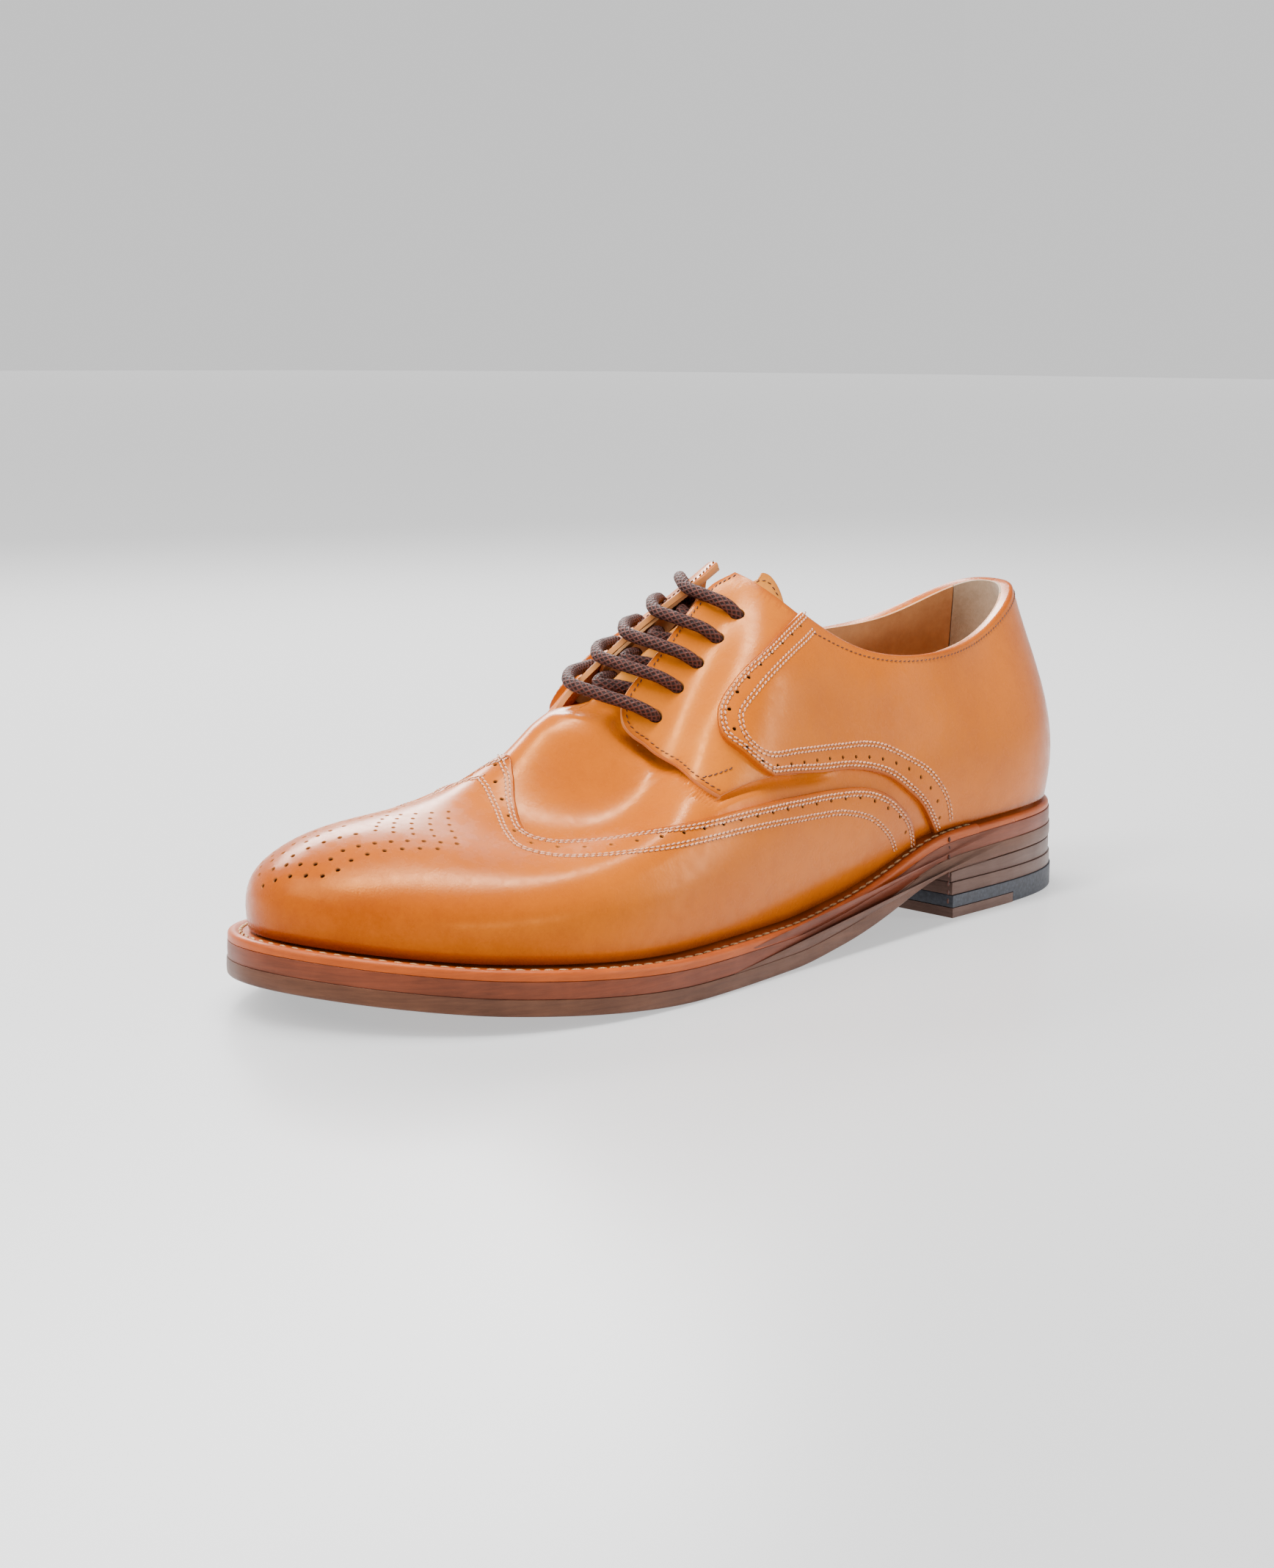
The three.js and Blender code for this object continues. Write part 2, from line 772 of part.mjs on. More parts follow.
function buildSole() {
  const outsoleTop = above(OUTSOLE - GAP);
  add("outsole", "sole_leather", plate(soleEdge(0), null, null, above(0), outsoleTop, 44, 3));
  const midsoleTop = above(WELT_BOTTOM - GAP);
  const midsoleBottom = above(MIDSOLE_BOTTOM);
  const midsole = plate(soleEdge(0.5), null, null, midsoleBottom, midsoleTop, 44, 3);
  add("midsole", "sole_leather", midsole);

  const weltFrom = placeAt(outline, WELT_END, 1);
  const weltTo = placeAt(outline, WELT_END, -1);
  const inner = insideFeather(CAVITY_MARGIN);
  const welt = band(soleEdge(0.3), inner, weltFrom, weltTo, WELT_BOTTOM, WELT_TOP, 48);
  add("welt", "sole_leather", welt);
  const join = 0.001;
  const [randFrom, randTo] = [weltTo + join, 1 + weltFrom - join];
  const rand = band(soleEdge(0.9), inner, randFrom, randTo, WELT_BOTTOM, WELT_TOP, 20);
  add("heel_rand", "sole_leather", rand);

  const cavity = insideFeather(CAVITY_MARGIN + GAP);
  const [fillBottom, fillTop] = [above(WELT_BOTTOM), above(WELT_TOP)];
  const seat = plate(cavity, null, 49, fillBottom, fillTop, 12, 2);
  add("heel_seat_filler", "insole_leather", seat);
  const shankAt = (margin, low, high) => {
    const place = (height) => (a, b) => {
      const s = lerp(54 - margin, 148 + margin, a);
      return new THREE.Vector3(s, lerp(-6.5 - margin, 9.5 + margin, b), underside(s) + height);
    };
    return sheet(place(high), place(low), 16, 1);
  };
  add("shank", "steel", shankAt(0, WELT_BOTTOM, WELT_BOTTOM + 1.4));
  const cork = asSolid(plate(cavity, 50, 300, fillBottom, fillTop, 34, 2));
  const channel = asSolid(shankAt(0.4, WELT_BOTTOM - 1, WELT_BOTTOM + 1.4 + GAP));
  add("cork_filler", "cork", asGeometry(cork.subtract(channel)));

  const insoleTop = WELT_TOP + 2.8;
  const insoleBorder = insideFeather(4.8);
  const insole = plate(insoleBorder, null, null, above(WELT_TOP + GAP), above(insoleTop), 36, 2);
  add("insole", "insole_leather", insole);
  const sockBorder = insideFeather(5.4);
  const sockBottom = above(insoleTop + GAP);
  const sock = plate(sockBorder, null, null, sockBottom, above(insoleTop + 1.4), 36, 2);
  add("sock_liner", "lining", sock);
}

// ---- heel --------------------------------------------------------------------------------------

const TOP_PIECE = 3.2; // the layer that meets the ground
const RUBBER_TOP = 7;
const LIFT_TOP = 11;
const LIP_END = 43.7; // the rubber reaches the ground behind this, the leather in front
const PINS = [
  [52, 22],
  [68, 25],
  [66, 2],
  [68, -21],
  [52, -18],
];
const PIN_RADIUS = 1;

function buildHeel() {
  const upperTop = above(-GAP);
  const upper = plate(soleEdge(0.2), null, BREAST, flat(LIFT_TOP), upperTop, 16, 3);
  add("heel_lift_upper", "heel_leather", upper);
  const [lowFrom, lowTo] = [flat(RUBBER_TOP), flat(LIFT_TOP - GAP)];
  const lower = plate(soleEdge(-0.2), null, BREAST, lowFrom, lowTo, 16, 1);
  add("heel_lift_lower", "heel_leather", lower);

  const rubberTop = flat(RUBBER_TOP - GAP);
  const layer = plate(soleEdge(-0.6), null, BREAST, flat(TOP_PIECE), rubberTop, 16, 1);
  const lip = plate(soleEdge(-0.6), null, LIP_END, flat(0), flat(TOP_PIECE + 1), 12, 1);
  add("rubber_heel_lift", "rubber", asGeometry(asSolid(layer).add(asSolid(lip))));

  const [ground, pieceTop] = [flat(0), flat(TOP_PIECE - GAP)];
  const piece = plate(soleEdge(-0.6), LIP_END + 0.3, BREAST, ground, pieceTop, 8, 1);
  const pinAt = ([s, t], low, high, radius, sides) =>
    bar(new THREE.Vector3(s, t, low), new THREE.Vector3(s, t, high), radius, sides);
  const holes = PINS.map((pin) => pinAt(pin, -1, TOP_PIECE + 1, PIN_RADIUS + GAP, 12));
  add("heel_top_piece", "heel_leather", drilled(piece, holes));
  PINS.forEach((pin, i) => {
    add(`heel_pin_${i + 1}`, "brass", pinAt(pin, 0.1, TOP_PIECE - GAP, PIN_RADIUS, 12));
  });
}

// ---- lace --------------------------------------------------------------------------------------

const BAR_HEIGHT = 1; // middle of the lace above the surface, across the tabs
const UNDER = -6.3; // and below it, between the tabs and the tongue

// Control points of the lace, in last coordinates. Each row of holes has one bar across the top,
// from the outer hole to the inner one, and one run underneath to the next row.
function lacePoints() {
  const at = (u, v, w) => offset(u, v, w);
  const points = [];
  const rows = OUTER_HOLES.length;
  OUTER_HOLES.forEach(([u, v], i) => {
    const [farU, farV] = INNER_HOLES[i];
    const across = (share) => [lerp(u, farU, share), lerp(v, farV, share)];
    if (i > 0) points.push(at(u + 0.012, v - 0.001, UNDER));
    points.push(at(u + 0.001, v, UNDER + 1.5), at(u, v, -2.2), at(u + 0.002, v, 0.1));
    for (const share of [0.1, 0.3]) points.push(at(...across(share), BAR_HEIGHT));
    points.push(at(...across(0.5), BAR_HEIGHT - 0.8));
    for (const share of [0.7, 0.9]) points.push(at(...across(share), BAR_HEIGHT));
    points.push(at(farU - 0.002, farV, 0.1), at(farU, farV, -2.2));
    points.push(at(farU - 0.001, farV, UNDER + 1.5));
    if (i + 1 === rows) return;
    points.push(at(farU - 0.008, farV + 0.004, UNDER));
    const [nextU, nextV] = OUTER_HOLES[i + 1];
    const back = (share) => [lerp(farU, nextU, share), lerp(farV + 0.006, nextV, share)];
    for (const share of [0.3, 0.5, 0.7]) points.push(at(...back(share), UNDER));
  });
  return points;
}

// The two ends hang from the lowest outer hole and the highest inner hole into the shoe.
const START_END = [
  [108, 23, 27.5],
  [126, 26, 23.5],
  [144, 29.5, 21],
  [156, 32, 21.5],
  [164, 33, 27],
  [167, 32, 37],
  [168, 27, 50],
  [169, 19, 61],
  [171, 13, 68],
  [174, 10, 72],
];
const FINISH_END = [
  [140, -17.5, 93.5],
  [137, -19, 88],
  [135, -21, 82],
  [132, -22.5, 73],
  [130, -23, 62],
  [128, -23, 50],
  [128, -23, 38],
  [132, -22, 28],
  [142, -23, 22.5],
  [156, -27, 21],
  [170, -29, 20.8],
];

// A round tube along a smooth curve through points, closed at both ends.
function tube(points, radius, perSpan, sides) {
  const curve = new THREE.CatmullRomCurve3(points, false, "centripetal");
  const rings = (points.length - 1) * perSpan;
  const centres = Array.from({ length: rings + 1 }, (_, i) => curve.getPoint(i / rings));
  const turn = new THREE.Quaternion();
  const along = (i) => centres[Math.min(i + 1, rings)].clone().sub(centres[Math.max(i - 1, 0)]);
  const frames = [];
  let direction = along(0).normalize();
  let across = new THREE.Vector3(0, 0, 1).cross(direction).normalize();
  centres.forEach((_, i) => {
    const next = along(i).normalize();
    across = across.clone().applyQuaternion(turn.setFromUnitVectors(direction, next)).normalize();
    direction = next;
    frames.push([across, direction.clone().cross(across)]);
  });
  const points3 = [];
  centres.forEach((centre, i) => {
    for (let k = 0; k < sides; k++) {
      const angle = (k / sides) * 2 * Math.PI;
      const spoke = frames[i][0].clone().multiplyScalar(Math.cos(angle) * radius);
      spoke.addScaledVector(frames[i][1], Math.sin(angle) * radius);
      points3.push(centre.clone().add(spoke));
    }
  });
  points3.push(centres[0], centres[rings]);
  const quads = [];
  for (let k = 0; k < sides; k++) {
    const next = (k + 1) % sides;
    for (let i = 0; i < rings; i++) {
      const [here, there] = [i * sides, (i + 1) * sides];
      quads.push([here + k, here + next, there + next, there + k]);
    }
    const [start, end] = [points3.length - 2, points3.length - 1];
    quads.push([start, next, k, k], [end, rings * sides + k, rings * sides + next, end]);
  }
  return closedGeometry(points3, quads);
}

const LACE_PATH = [
  ...START_END.map((point) => new THREE.Vector3(...point)),
  ...lacePoints(),
  ...FINISH_END.map((point) => new THREE.Vector3(...point)),
];

function buildLace() {
  add("shoelace", "lace", tube(LACE_PATH, LACE_RADIUS, 2, 8));
  const ends = [
    [LACE_PATH[0], LACE_PATH[1]],
    [LACE_PATH.at(-1), LACE_PATH.at(-2)],
  ];
  ends.forEach(([tip, before], i) => {
    const direction = tip.clone().sub(before).normalize();
    const from = tip.clone().addScaledVector(direction, 0.3);
    const to = tip.clone().addScaledVector(direction, 20);
    add(`aglet_${i + 1}`, "plastic", bar(from, to, 1.4, 10));
  });
}

// ---- upper -------------------------------------------------------------------------------------

const SEAM = 0.0006; // half the gap between the quarters at the back seam

const RING_OUTER = 3.2;
const holeBar = (u, v, high, low, radius) =>
  bar(offset(u, v, high), offset(u, v, low), radius, 10);

function sideArea(parts, side) {
  if (side > 0) return patch(parts);
  const turned = Object.entries(parts).map(([key, curve]) => [key, mirrored(curve)]);
  return patch(Object.fromEntries(turned));
}

// Room for the lace near a hole: short bars along its path, a little thicker than it is.
function lacePassage(u, v) {
  const curve = new THREE.CatmullRomCurve3(LACE_PATH, false, "centripetal");
  const middle = offset(u, v, SECOND_SHEET);
  const points = curve.getPoints((LACE_PATH.length - 1) * 2);
  const bars = [];
  points.slice(1).forEach((to, i) => {
    if (points[i].distanceTo(middle) > 7) return;
    const reach = to.clone().sub(points[i]).setLength(0.3);
    const [start, end] = [points[i].clone().sub(reach), to.clone().add(reach)];
    bars.push(bar(start, end, LACE_RADIUS + 0.25, 10));
  });
  return bars;
}

const VAMP_ALONG = 32;
function buildUpper() {
  const rootOf = (points) => bothSides(points).map(([u]) => [u, 0]);
  const wing = patch({ low: line(rootOf(WING_EDGE)), high: line(bothSides(WING_EDGE)) });
  add("wing_cap", "leather", upperSheet(wing, () => TOP_SHEET, 36, 11));
  const vamp = patch({ low: line(bothSides(VAMP_FRONT)), high: line(bothSides(VAMP_BACK)) });
  const crowded = (b) => 1 - (1 - b) ** 1.5; // rows closer together towards the throat
  const vampRows = (a, b) => vamp(a, crowded(b));
  add("vamp", "leather", upperSheet(vampRows, vampDepth, VAMP_ALONG, 9));
  // The lining has the vamp's rows, and five more from there down to the welt.
  const vampRoot = line(rootOf(VAMP_FRONT));
  const vampLining = (a, b) => {
    const row = b * 14 - 5;
    if (row >= 0) return vampRows(a, row / 9);
    const [[u0, v0], [u1, v1]] = [vampRoot(a), vamp(a, 0)];
    return [lerp(u1, u0, -row / 5), lerp(v1, v0, -row / 5)];
  };
  const underVamp = (u, v) => vampDepth(u, v) - PLY;
  add("vamp_lining", "lining", upperSheet(vampLining, underVamp, VAMP_ALONG, 14));
  const puffRoot = bothSides(PUFF_BACK).map(([u]) => [u, 0.015]);
  const puff = patch({ low: line(puffRoot), high: line(bothSides(PUFF_BACK)) });
  const stiffenerDepth = () => SECOND_SHEET - 0.15;
  add("toe_puff", "stiffener", upperSheet(puff, stiffenerDepth, 16, 6, 0.7));

  const counterRoot = COUNTER_TOP.map(([u]) => [u, 0.02]);
  const counter = patch({ low: line(counterRoot), high: line(COUNTER_TOP) });
  add("heel_counter", "stiffener", upperSheet(counter, stiffenerDepth, 24, 5, 0.7));
  const grip = (a, b) => [lerp(-HEEL_GRIP, HEEL_GRIP, a), lerp(0.02, 1, b)];
  add("heel_grip_lining", "suede", upperSheet(grip, () => THIRD_SHEET, 10, 10));

  const quarter = {
    low: line([[SEAM, 0], ...QUARTER_LOW.slice(1)]),
    high: line([[SEAM, 1], ...QUARTER_TOP.slice(1)]),
    start: (b) => [SEAM, b],
    end: line(QUARTER_FRONT),
  };
  const tab = { low: line(TAB_LOW), high: line(TAB_TOP), start: line(TAB_BACK), end: line(TAB_FRONT) };
  const lining = { low: line(LINING_LOW), high: line(LINING_TOP), end: line(LINING_FRONT) };
  for (const [hand, side] of [["left", 1], ["right", -1]]) {
    const holes = side > 0 ? OUTER_HOLES : INNER_HOLES;
    const quarterSheet = upperSheet(sideArea(quarter, side), () => TOP_SHEET, 26, 10);
    add(`quarter_${hand}`, "leather", quarterSheet);

    const tabSheet = upperSheet(sideArea(tab, side), () => SECOND_SHEET, 7, 13);
    const tabHoles = holes.map(([u, v]) => holeBar(u, v, 0.5, THIRD_SHEET + 0.2, HOLE_RADIUS));
    const passages = holes.map(([u, v]) => lacePassage(u, v));
    add(`facing_${hand}`, "leather", drilled(tabSheet, [...tabHoles, ...passages.flat()]));

    const liningSheet = upperSheet(sideArea(lining, side), () => THIRD_SHEET, 20, 8);
    const seats = holes.map(([u, v]) => holeBar(u, v, -1.6, -4.6, RING_OUTER + GAP));
    const cutLining = drilled(liningSheet, [...seats, ...passages.flat()]);
    add(`quarter_lining_${hand}`, "lining", cutLining);

    holes.forEach(([u, v], i) => {
      const ring = holeBar(u, v, THIRD_SHEET, THIRD_SHEET - LEATHER, RING_OUTER);
      const bore = holeBar(u, v, -1.6, -4.6, HOLE_RADIUS);
      add(`eyelet_${hand}_${i + 1}`, "brass", drilled(ring, [bore, ...passages[i]]));
    });
  }

  const tongue = {
    low: line([[0.44, TONGUE_ROOT], [0.47, TONGUE_ROOT], [0.5, TONGUE_ROOT],
      [0.53, TONGUE_ROOT], [0.56, TONGUE_ROOT]]),
    high: line(TONGUE_TOP),
    start: line(TONGUE_SIDE),
    end: line(TONGUE_INNER_SIDE),
  };
  add("tongue", "leather", upperSheet(patch(tongue), () => TONGUE_SHEET, 8, 8));
  add("tongue_lining", "lining", upperSheet(patch(tongue), () => TONGUE_SHEET - PLY - GAP, 8, 8));
}

buildSole();
buildHeel();
buildLace();
buildUpper();

// The middle of the footprint's bounding box becomes the origin.
const bounds = new THREE.Box3();
for (const mesh of group.children)
  if (!/^(shoelace|aglet)/.test(mesh.name)) bounds.expandByObject(mesh);
const middle = bounds.getCenter(new THREE.Vector3());
for (const mesh of group.children) mesh.geometry.translate(-middle.x, -middle.y, -bounds.min.z);

export default group;
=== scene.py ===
"""A tan leather derby shoe for the left foot: punched wing cap, lace tabs, double sole, stacked heel.

Shape is worked out in last coordinates in millimetres (s forward from the back of the heel, t to the
outer side, z up), then placed in the row frame in metres. The upper is one surface in (u, v): u runs
once round the foot, v from the welt up to the ankle opening. Every leather is an offset of it.
"""

import json
import math

import bpy
import numpy as np
from mathutils import Matrix, Vector, geometry, kdtree

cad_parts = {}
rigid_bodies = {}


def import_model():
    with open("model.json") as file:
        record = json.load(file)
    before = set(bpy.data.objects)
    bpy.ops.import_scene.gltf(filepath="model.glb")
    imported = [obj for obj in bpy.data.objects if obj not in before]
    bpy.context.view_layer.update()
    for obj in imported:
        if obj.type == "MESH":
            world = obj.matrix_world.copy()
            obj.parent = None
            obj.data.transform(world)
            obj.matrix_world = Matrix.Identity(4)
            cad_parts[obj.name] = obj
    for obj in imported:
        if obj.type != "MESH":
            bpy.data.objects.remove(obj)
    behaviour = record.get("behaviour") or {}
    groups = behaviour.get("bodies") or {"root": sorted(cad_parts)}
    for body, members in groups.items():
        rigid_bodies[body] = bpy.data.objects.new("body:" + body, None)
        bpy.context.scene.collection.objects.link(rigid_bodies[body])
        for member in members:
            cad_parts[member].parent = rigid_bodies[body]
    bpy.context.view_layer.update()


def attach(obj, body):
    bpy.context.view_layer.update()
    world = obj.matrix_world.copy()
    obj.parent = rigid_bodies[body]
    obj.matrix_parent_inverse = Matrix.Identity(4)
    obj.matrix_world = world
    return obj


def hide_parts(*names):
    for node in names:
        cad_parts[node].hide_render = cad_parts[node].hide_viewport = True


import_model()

# ---- sizes, as in the CAD ----------------------------------------------------------------------

FOOT_MIDDLE = (152.575, -1.484)  # s and t of the row frame's origin
OUTSOLE = 4.7
MIDSOLE = 4.7
WELT = 2.7
WELT_BOTTOM = OUTSOLE + MIDSOLE
WELT_TOP = WELT_BOTTOM + WELT
CREASE = 0.5
PLY = 1.65
TOP_SHEET = 0.3
SECOND_SHEET = TOP_SHEET - PLY
THIRD_SHEET = SECOND_SHEET - PLY
TONGUE_SHEET = -8.9
BREAST = 76
WELT_END = 62
LACE_RADIUS = 1.85
CENTRE_T = -1.6
SHEET = 1  # thickness of each leather of the upper
STITCH_LIFT = 0.05  # how far a row of stitches stands above its leather
PUNCH_RADIUS = 0.62
LACE_HOLE_RADIUS = 2.2

CAMERA_PLACE = (776.6, 590.9, 200.86)
CAMERA_TURNS = (-135.126, 10.198, 0.394)  # yaw, pitch and roll in degrees
LENS = 68.99
LENS_SHIFT = (0.0117, -0.0012)

OUTLINE = [
    (-1.5, -0.5), (3, 17), (20, 31), (50, 35), (82, 35.5), (113, 39.5), (145, 44.5), (177, 50.5),
    (210, 54.5), (241, 53.5), (271, 43.5), (295, 21.5), (310, -10), (300, -34), (276, -50.5),
    (246, -58), (212, -56), (178, -46.5), (146, -36.5), (114, -31), (82, -30.5), (50, -32.5),
    (19.5, -30), (2.5, -18.5),
]
HALF_MARGIN = [2.2, 2.2, 2.4, 3.6, 5.4, 6.4, 6.8, 6.8, 6.6, 6.4, 6.2]
MARGIN = [2.2, *HALF_MARGIN, 6.2, *HALF_MARGIN[::-1]]
# Ankle opening from back to front on the outer side, and how much higher the inner side is.
OPENING_SIDE = [
    (13.5, 8, 95.5, 0.6), (26, 15.6, 90.5, 0.6), (45.5, 20.5, 83, 0.6), (67, 27.5, 80.5, 0.6),
    (89, 27, 80, 0.6), (107.5, 24.2, 83.5, 0.6), (122, 21.2, 91.5, 0.6), (131, 16.8, 99.3, 2),
    (134.8, 12, 103.4, 4), (137, 7, 106.3, 4), (138.4, 2.4, 108, 2.5),
]
OPENING = [
    (8.3, CENTRE_T, 95.4),
    *[(s, t, z) for s, t, z, _ in OPENING_SIDE],
    (138.4, CENTRE_T, 109.3),
    *[(s, 2 * CENTRE_T - t, z + rise) for s, t, z, rise in OPENING_SIDE[::-1]],
]
# Underside of the sole from the side: s, height, slope.
UNDERSIDE = [
    (-5, 16.2, -0.03), (60, 14.9, -0.045), (80, 13.6, -0.14), (105, 7.6, -0.27), (135, 1.9, -0.11),
    (160, 0, 0), (200, 0, 0), (235, 1.8, 0.085), (265, 4.6, 0.095), (290, 7.6, 0.13),
    (315, 11.3, 0.16),
]
# Sections of the upper: outline column, then inward share, bulge and height share by level.
SECTION_COLUMNS = [0, 4, 7, 10, 12]
INWARD = [
    (0.03, 0.12, 0.27, 0.46, 0.66, 0.85),
    (0.03, 0.105, 0.23, 0.405, 0.6, 0.81),
    (0, 0.045, 0.15, 0.295, 0.45, 0.65),
    (-0.01, 0.06, 0.215, 0.42, 0.59, 0.74),
    (-0.01, 0.025, 0.12, 0.29, 0.46, 0.65),
]
BULGE = [
    (1.8, 2.75, 2.75, 2, 1.05, 0.4),
    (2.4, 3.65, 3.85, 3.2, 2.05, 0.9),
    (2.9, 4, 3.6, 2.5, 1.7, 1.1),
    (2.2, 2.7, 1.9, 0.6, -0.1, -0.1),
    (0, 0, 0, 0, 0, 0),
]
HEIGHT = [
    (0.135, 0.28, 0.44, 0.595, 0.745, 0.88),
    (0.145, 0.3, 0.465, 0.62, 0.76, 0.885),
    (0.12, 0.255, 0.395, 0.565, 0.775, 0.95),
    (0.12, 0.206, 0.256, 0.268, 0.385, 0.7),
    (0.126, 0.236, 0.319, 0.333, 0.41, 0.745),
]

# ---- frame and camera ----------------------------------------------------------------------------


def place(points):
    """Last coordinates in millimetres to the row frame in metres."""
    p = np.asarray(points, float)
    moved = [p[..., 1] - FOOT_MIDDLE[1], FOOT_MIDDLE[0] - p[..., 0], p[..., 2]]
    return np.stack(moved, axis=-1) / 1000


def turn(direction):
    """A direction in last coordinates, in the row frame."""
    return np.array([direction[1], -direction[0], direction[2]], float)


def add_camera():
    yaw, pitch, roll = (math.radians(a) for a in CAMERA_TURNS)
    ahead = np.array([math.cos(pitch) * math.cos(yaw), math.cos(pitch) * math.sin(yaw),
                      -math.sin(pitch)])
    right = np.cross(ahead, (0, 0, 1))
    right /= np.linalg.norm(right)
    up = np.cross(right, ahead)
    rolled_right = right * math.cos(roll) + up * math.sin(roll)
    rolled_up = up * math.cos(roll) - right * math.sin(roll)
    axes = [turn(rolled_right), turn(rolled_up), -turn(ahead)]
    data = bpy.data.cameras.new("camera")
    data.lens = LENS
    data.sensor_width = 36
    data.sensor_fit = "AUTO"
    data.shift_x, data.shift_y = LENS_SHIFT
    data.clip_start = 0.05
    camera = bpy.data.objects.new("camera", data)
    matrix = Matrix(np.array(axes).T.tolist()).to_4x4()
    matrix.translation = Vector(place(CAMERA_PLACE))
    camera.matrix_world = matrix
    bpy.context.scene.collection.objects.link(camera)
    bpy.context.scene.camera = camera


add_camera()

# ---- curves and the outside surface ------------------------------------------------------------


def closed_spline(controls, u):
    """Closed uniform cubic B-spline at u turns round it."""
    controls = np.asarray(controls, float)
    count = len(controls)
    x = (np.asarray(u, float) % 1.0) * count
    i = np.floor(x).astype(int)
    f = x - i
    weights = [
        (1 - f) ** 3 / 6,
        (3 * f**3 - 6 * f**2 + 4) / 6,
        (-3 * f**3 + 3 * f**2 + 3 * f + 1) / 6,
        f**3 / 6,
    ]
    total = 0
    for k, w in enumerate(weights):
        at = controls[(i + k - 1) % count]
        total = total + (w[..., None] * at if controls.ndim > 1 else w * at)
    return total


def clamped_basis(v, n):
    """The n cubic B-spline weights at each v, on knots that are clamped at 0 and 1."""
    knots = np.concatenate([[0, 0, 0], np.arange(n - 2) / (n - 3), [1, 1, 1]])
    x = np.clip(v, 0, 1 - 1e-9)[..., None]
    basis = ((knots[:-1] <= x) & (x < knots[1:])).astype(float)
    for degree in (1, 2, 3):
        size = basis.shape[-1] - 1
        low, high = knots[:size], knots[1 : size + 1]
        rise = knots[degree : degree + size] - low
        end = knots[degree + 1 : degree + 1 + size]
        fall = end - high
        empty = np.zeros_like(basis[..., :-1])
        left = np.divide(x - low, rise, out=empty.copy(), where=rise > 0)
        right = np.divide(end - x, fall, out=empty.copy(), where=fall > 0)
        basis = left * basis[..., :-1] + right * basis[..., 1:]
    return basis


def underside(s):
    """Height of the sole's underside at s, a Hermite curve through UNDERSIDE."""
    table = np.array(UNDERSIDE, float)
    s = np.asarray(s, float)
    i = np.clip(np.searchsorted(table[:, 0], s, side="right") - 1, 0, len(table) - 2)
    s0, z0, m0 = table[i].T if s.ndim else table[i]
    s1, z1, m1 = table[i + 1].T if s.ndim else table[i + 1]
    h = s1 - s0
    x = (s - s0) / h
    start = z0 * (1 + 2 * x) * (1 - x) ** 2 + m0 * h * x * (1 - x) ** 2
    return start + z1 * x * x * (3 - 2 * x) - m1 * h * x * x * (1 - x)


def outline(u):
    return closed_spline(OUTLINE, u)


def outward(u):
    """Unit direction in the floor plane that points out of the outline at u."""
    step = 1e-4
    d = outline(np.asarray(u) + step) - outline(np.asarray(u) - step)
    d = d / np.linalg.norm(d, axis=-1, keepdims=True)
    return np.stack([-d[..., 1], d[..., 0]], axis=-1)


def inset(u, margin):
    return outline(u) - outward(u) * np.asarray(margin)[..., None]


def feather(u):
    """The line where the upper meets the welt."""
    return inset(u, closed_spline(MARGIN, u))


def section_columns(table, level):
    columns = np.arange(len(OUTLINE))
    mirrored = np.minimum(columns, len(OUTLINE) - columns)
    return np.interp(mirrored, SECTION_COLUMNS, [row[level] for row in table])


LEVELS = 6
TABLES = {
    name: [section_columns(table, level) for level in range(LEVELS)]
    for name, table in (("inward", INWARD), ("bulge", BULGE), ("height", HEIGHT))
}


def surface_inside(u, v):
    """The upper's surface, for v from 0 at the welt to 1 at the opening."""
    base = feather(u)
    out = outward(u)
    top = closed_spline(OPENING, u)
    bottom = underside(base[..., 0]) + WELT_TOP + CREASE
    basis = clamped_basis(v, LEVELS + 2)

    def blend(name, end):
        total = basis[..., LEVELS + 1] * end
        for level, columns in enumerate(TABLES[name]):
            total = total + basis[..., level + 1] * closed_spline(columns, u)
        return total

    inward = blend("inward", 1)[..., None]
    flat = base + inward * (top[..., :2] - base) + blend("bulge", 0)[..., None] * out
    z = bottom + blend("height", 1) * (top[..., 2] - bottom)
    return np.concatenate([flat, z[..., None]], axis=-1)


def surface(u, v):
    """The upper's surface, carried on straight where v passes 1."""
    u, v = np.broadcast_arrays(np.asarray(u, float), np.asarray(v, float))
    point = surface_inside(u, np.minimum(v, 1))
    beyond = np.maximum(v - 1, 0)[..., None]
    if beyond.any():
        step = 0.02
        point = point + beyond * (point - surface_inside(u, np.full_like(v, 1 - step))) / step
    return point


def surface_normal(u, v):
    du, dv = 0.02, 0.005
    along = surface(u + du, v) - surface(u - du, v)
    up = surface(u, v + dv) - surface(u, np.maximum(v - dv, 0))
    n = np.cross(up, along)
    return n / np.linalg.norm(n, axis=-1, keepdims=True)


def offset(u, v, w):
    """The point w mm outside the surface."""
    u, v = np.asarray(u, float), np.asarray(v, float)
    return surface(u, v) + surface_normal(u, v) * np.asarray(w, float)[..., None]


def spline(points, a):
    """Catmull-Rom curve through points, at a from 0 to 1."""
    p = np.asarray(points, float)
    n = len(p)
    x = np.asarray(a, float) * (n - 1)
    i = np.clip(np.floor(x).astype(int), 0, n - 1)
    f = (x - i)[..., None]
    before, here = p[np.maximum(i - 1, 0)], p[i]
    after, last = p[np.minimum(i + 1, n - 1)], p[np.minimum(i + 2, n - 1)]
    v0, v1 = (after - before) / 2, (last - here) / 2
    cubic = (2 * here - 2 * after + v0 + v1) * f**3
    return cubic + (-3 * here + 3 * after - 2 * v0 - v1) * f**2 + v0 * f + here


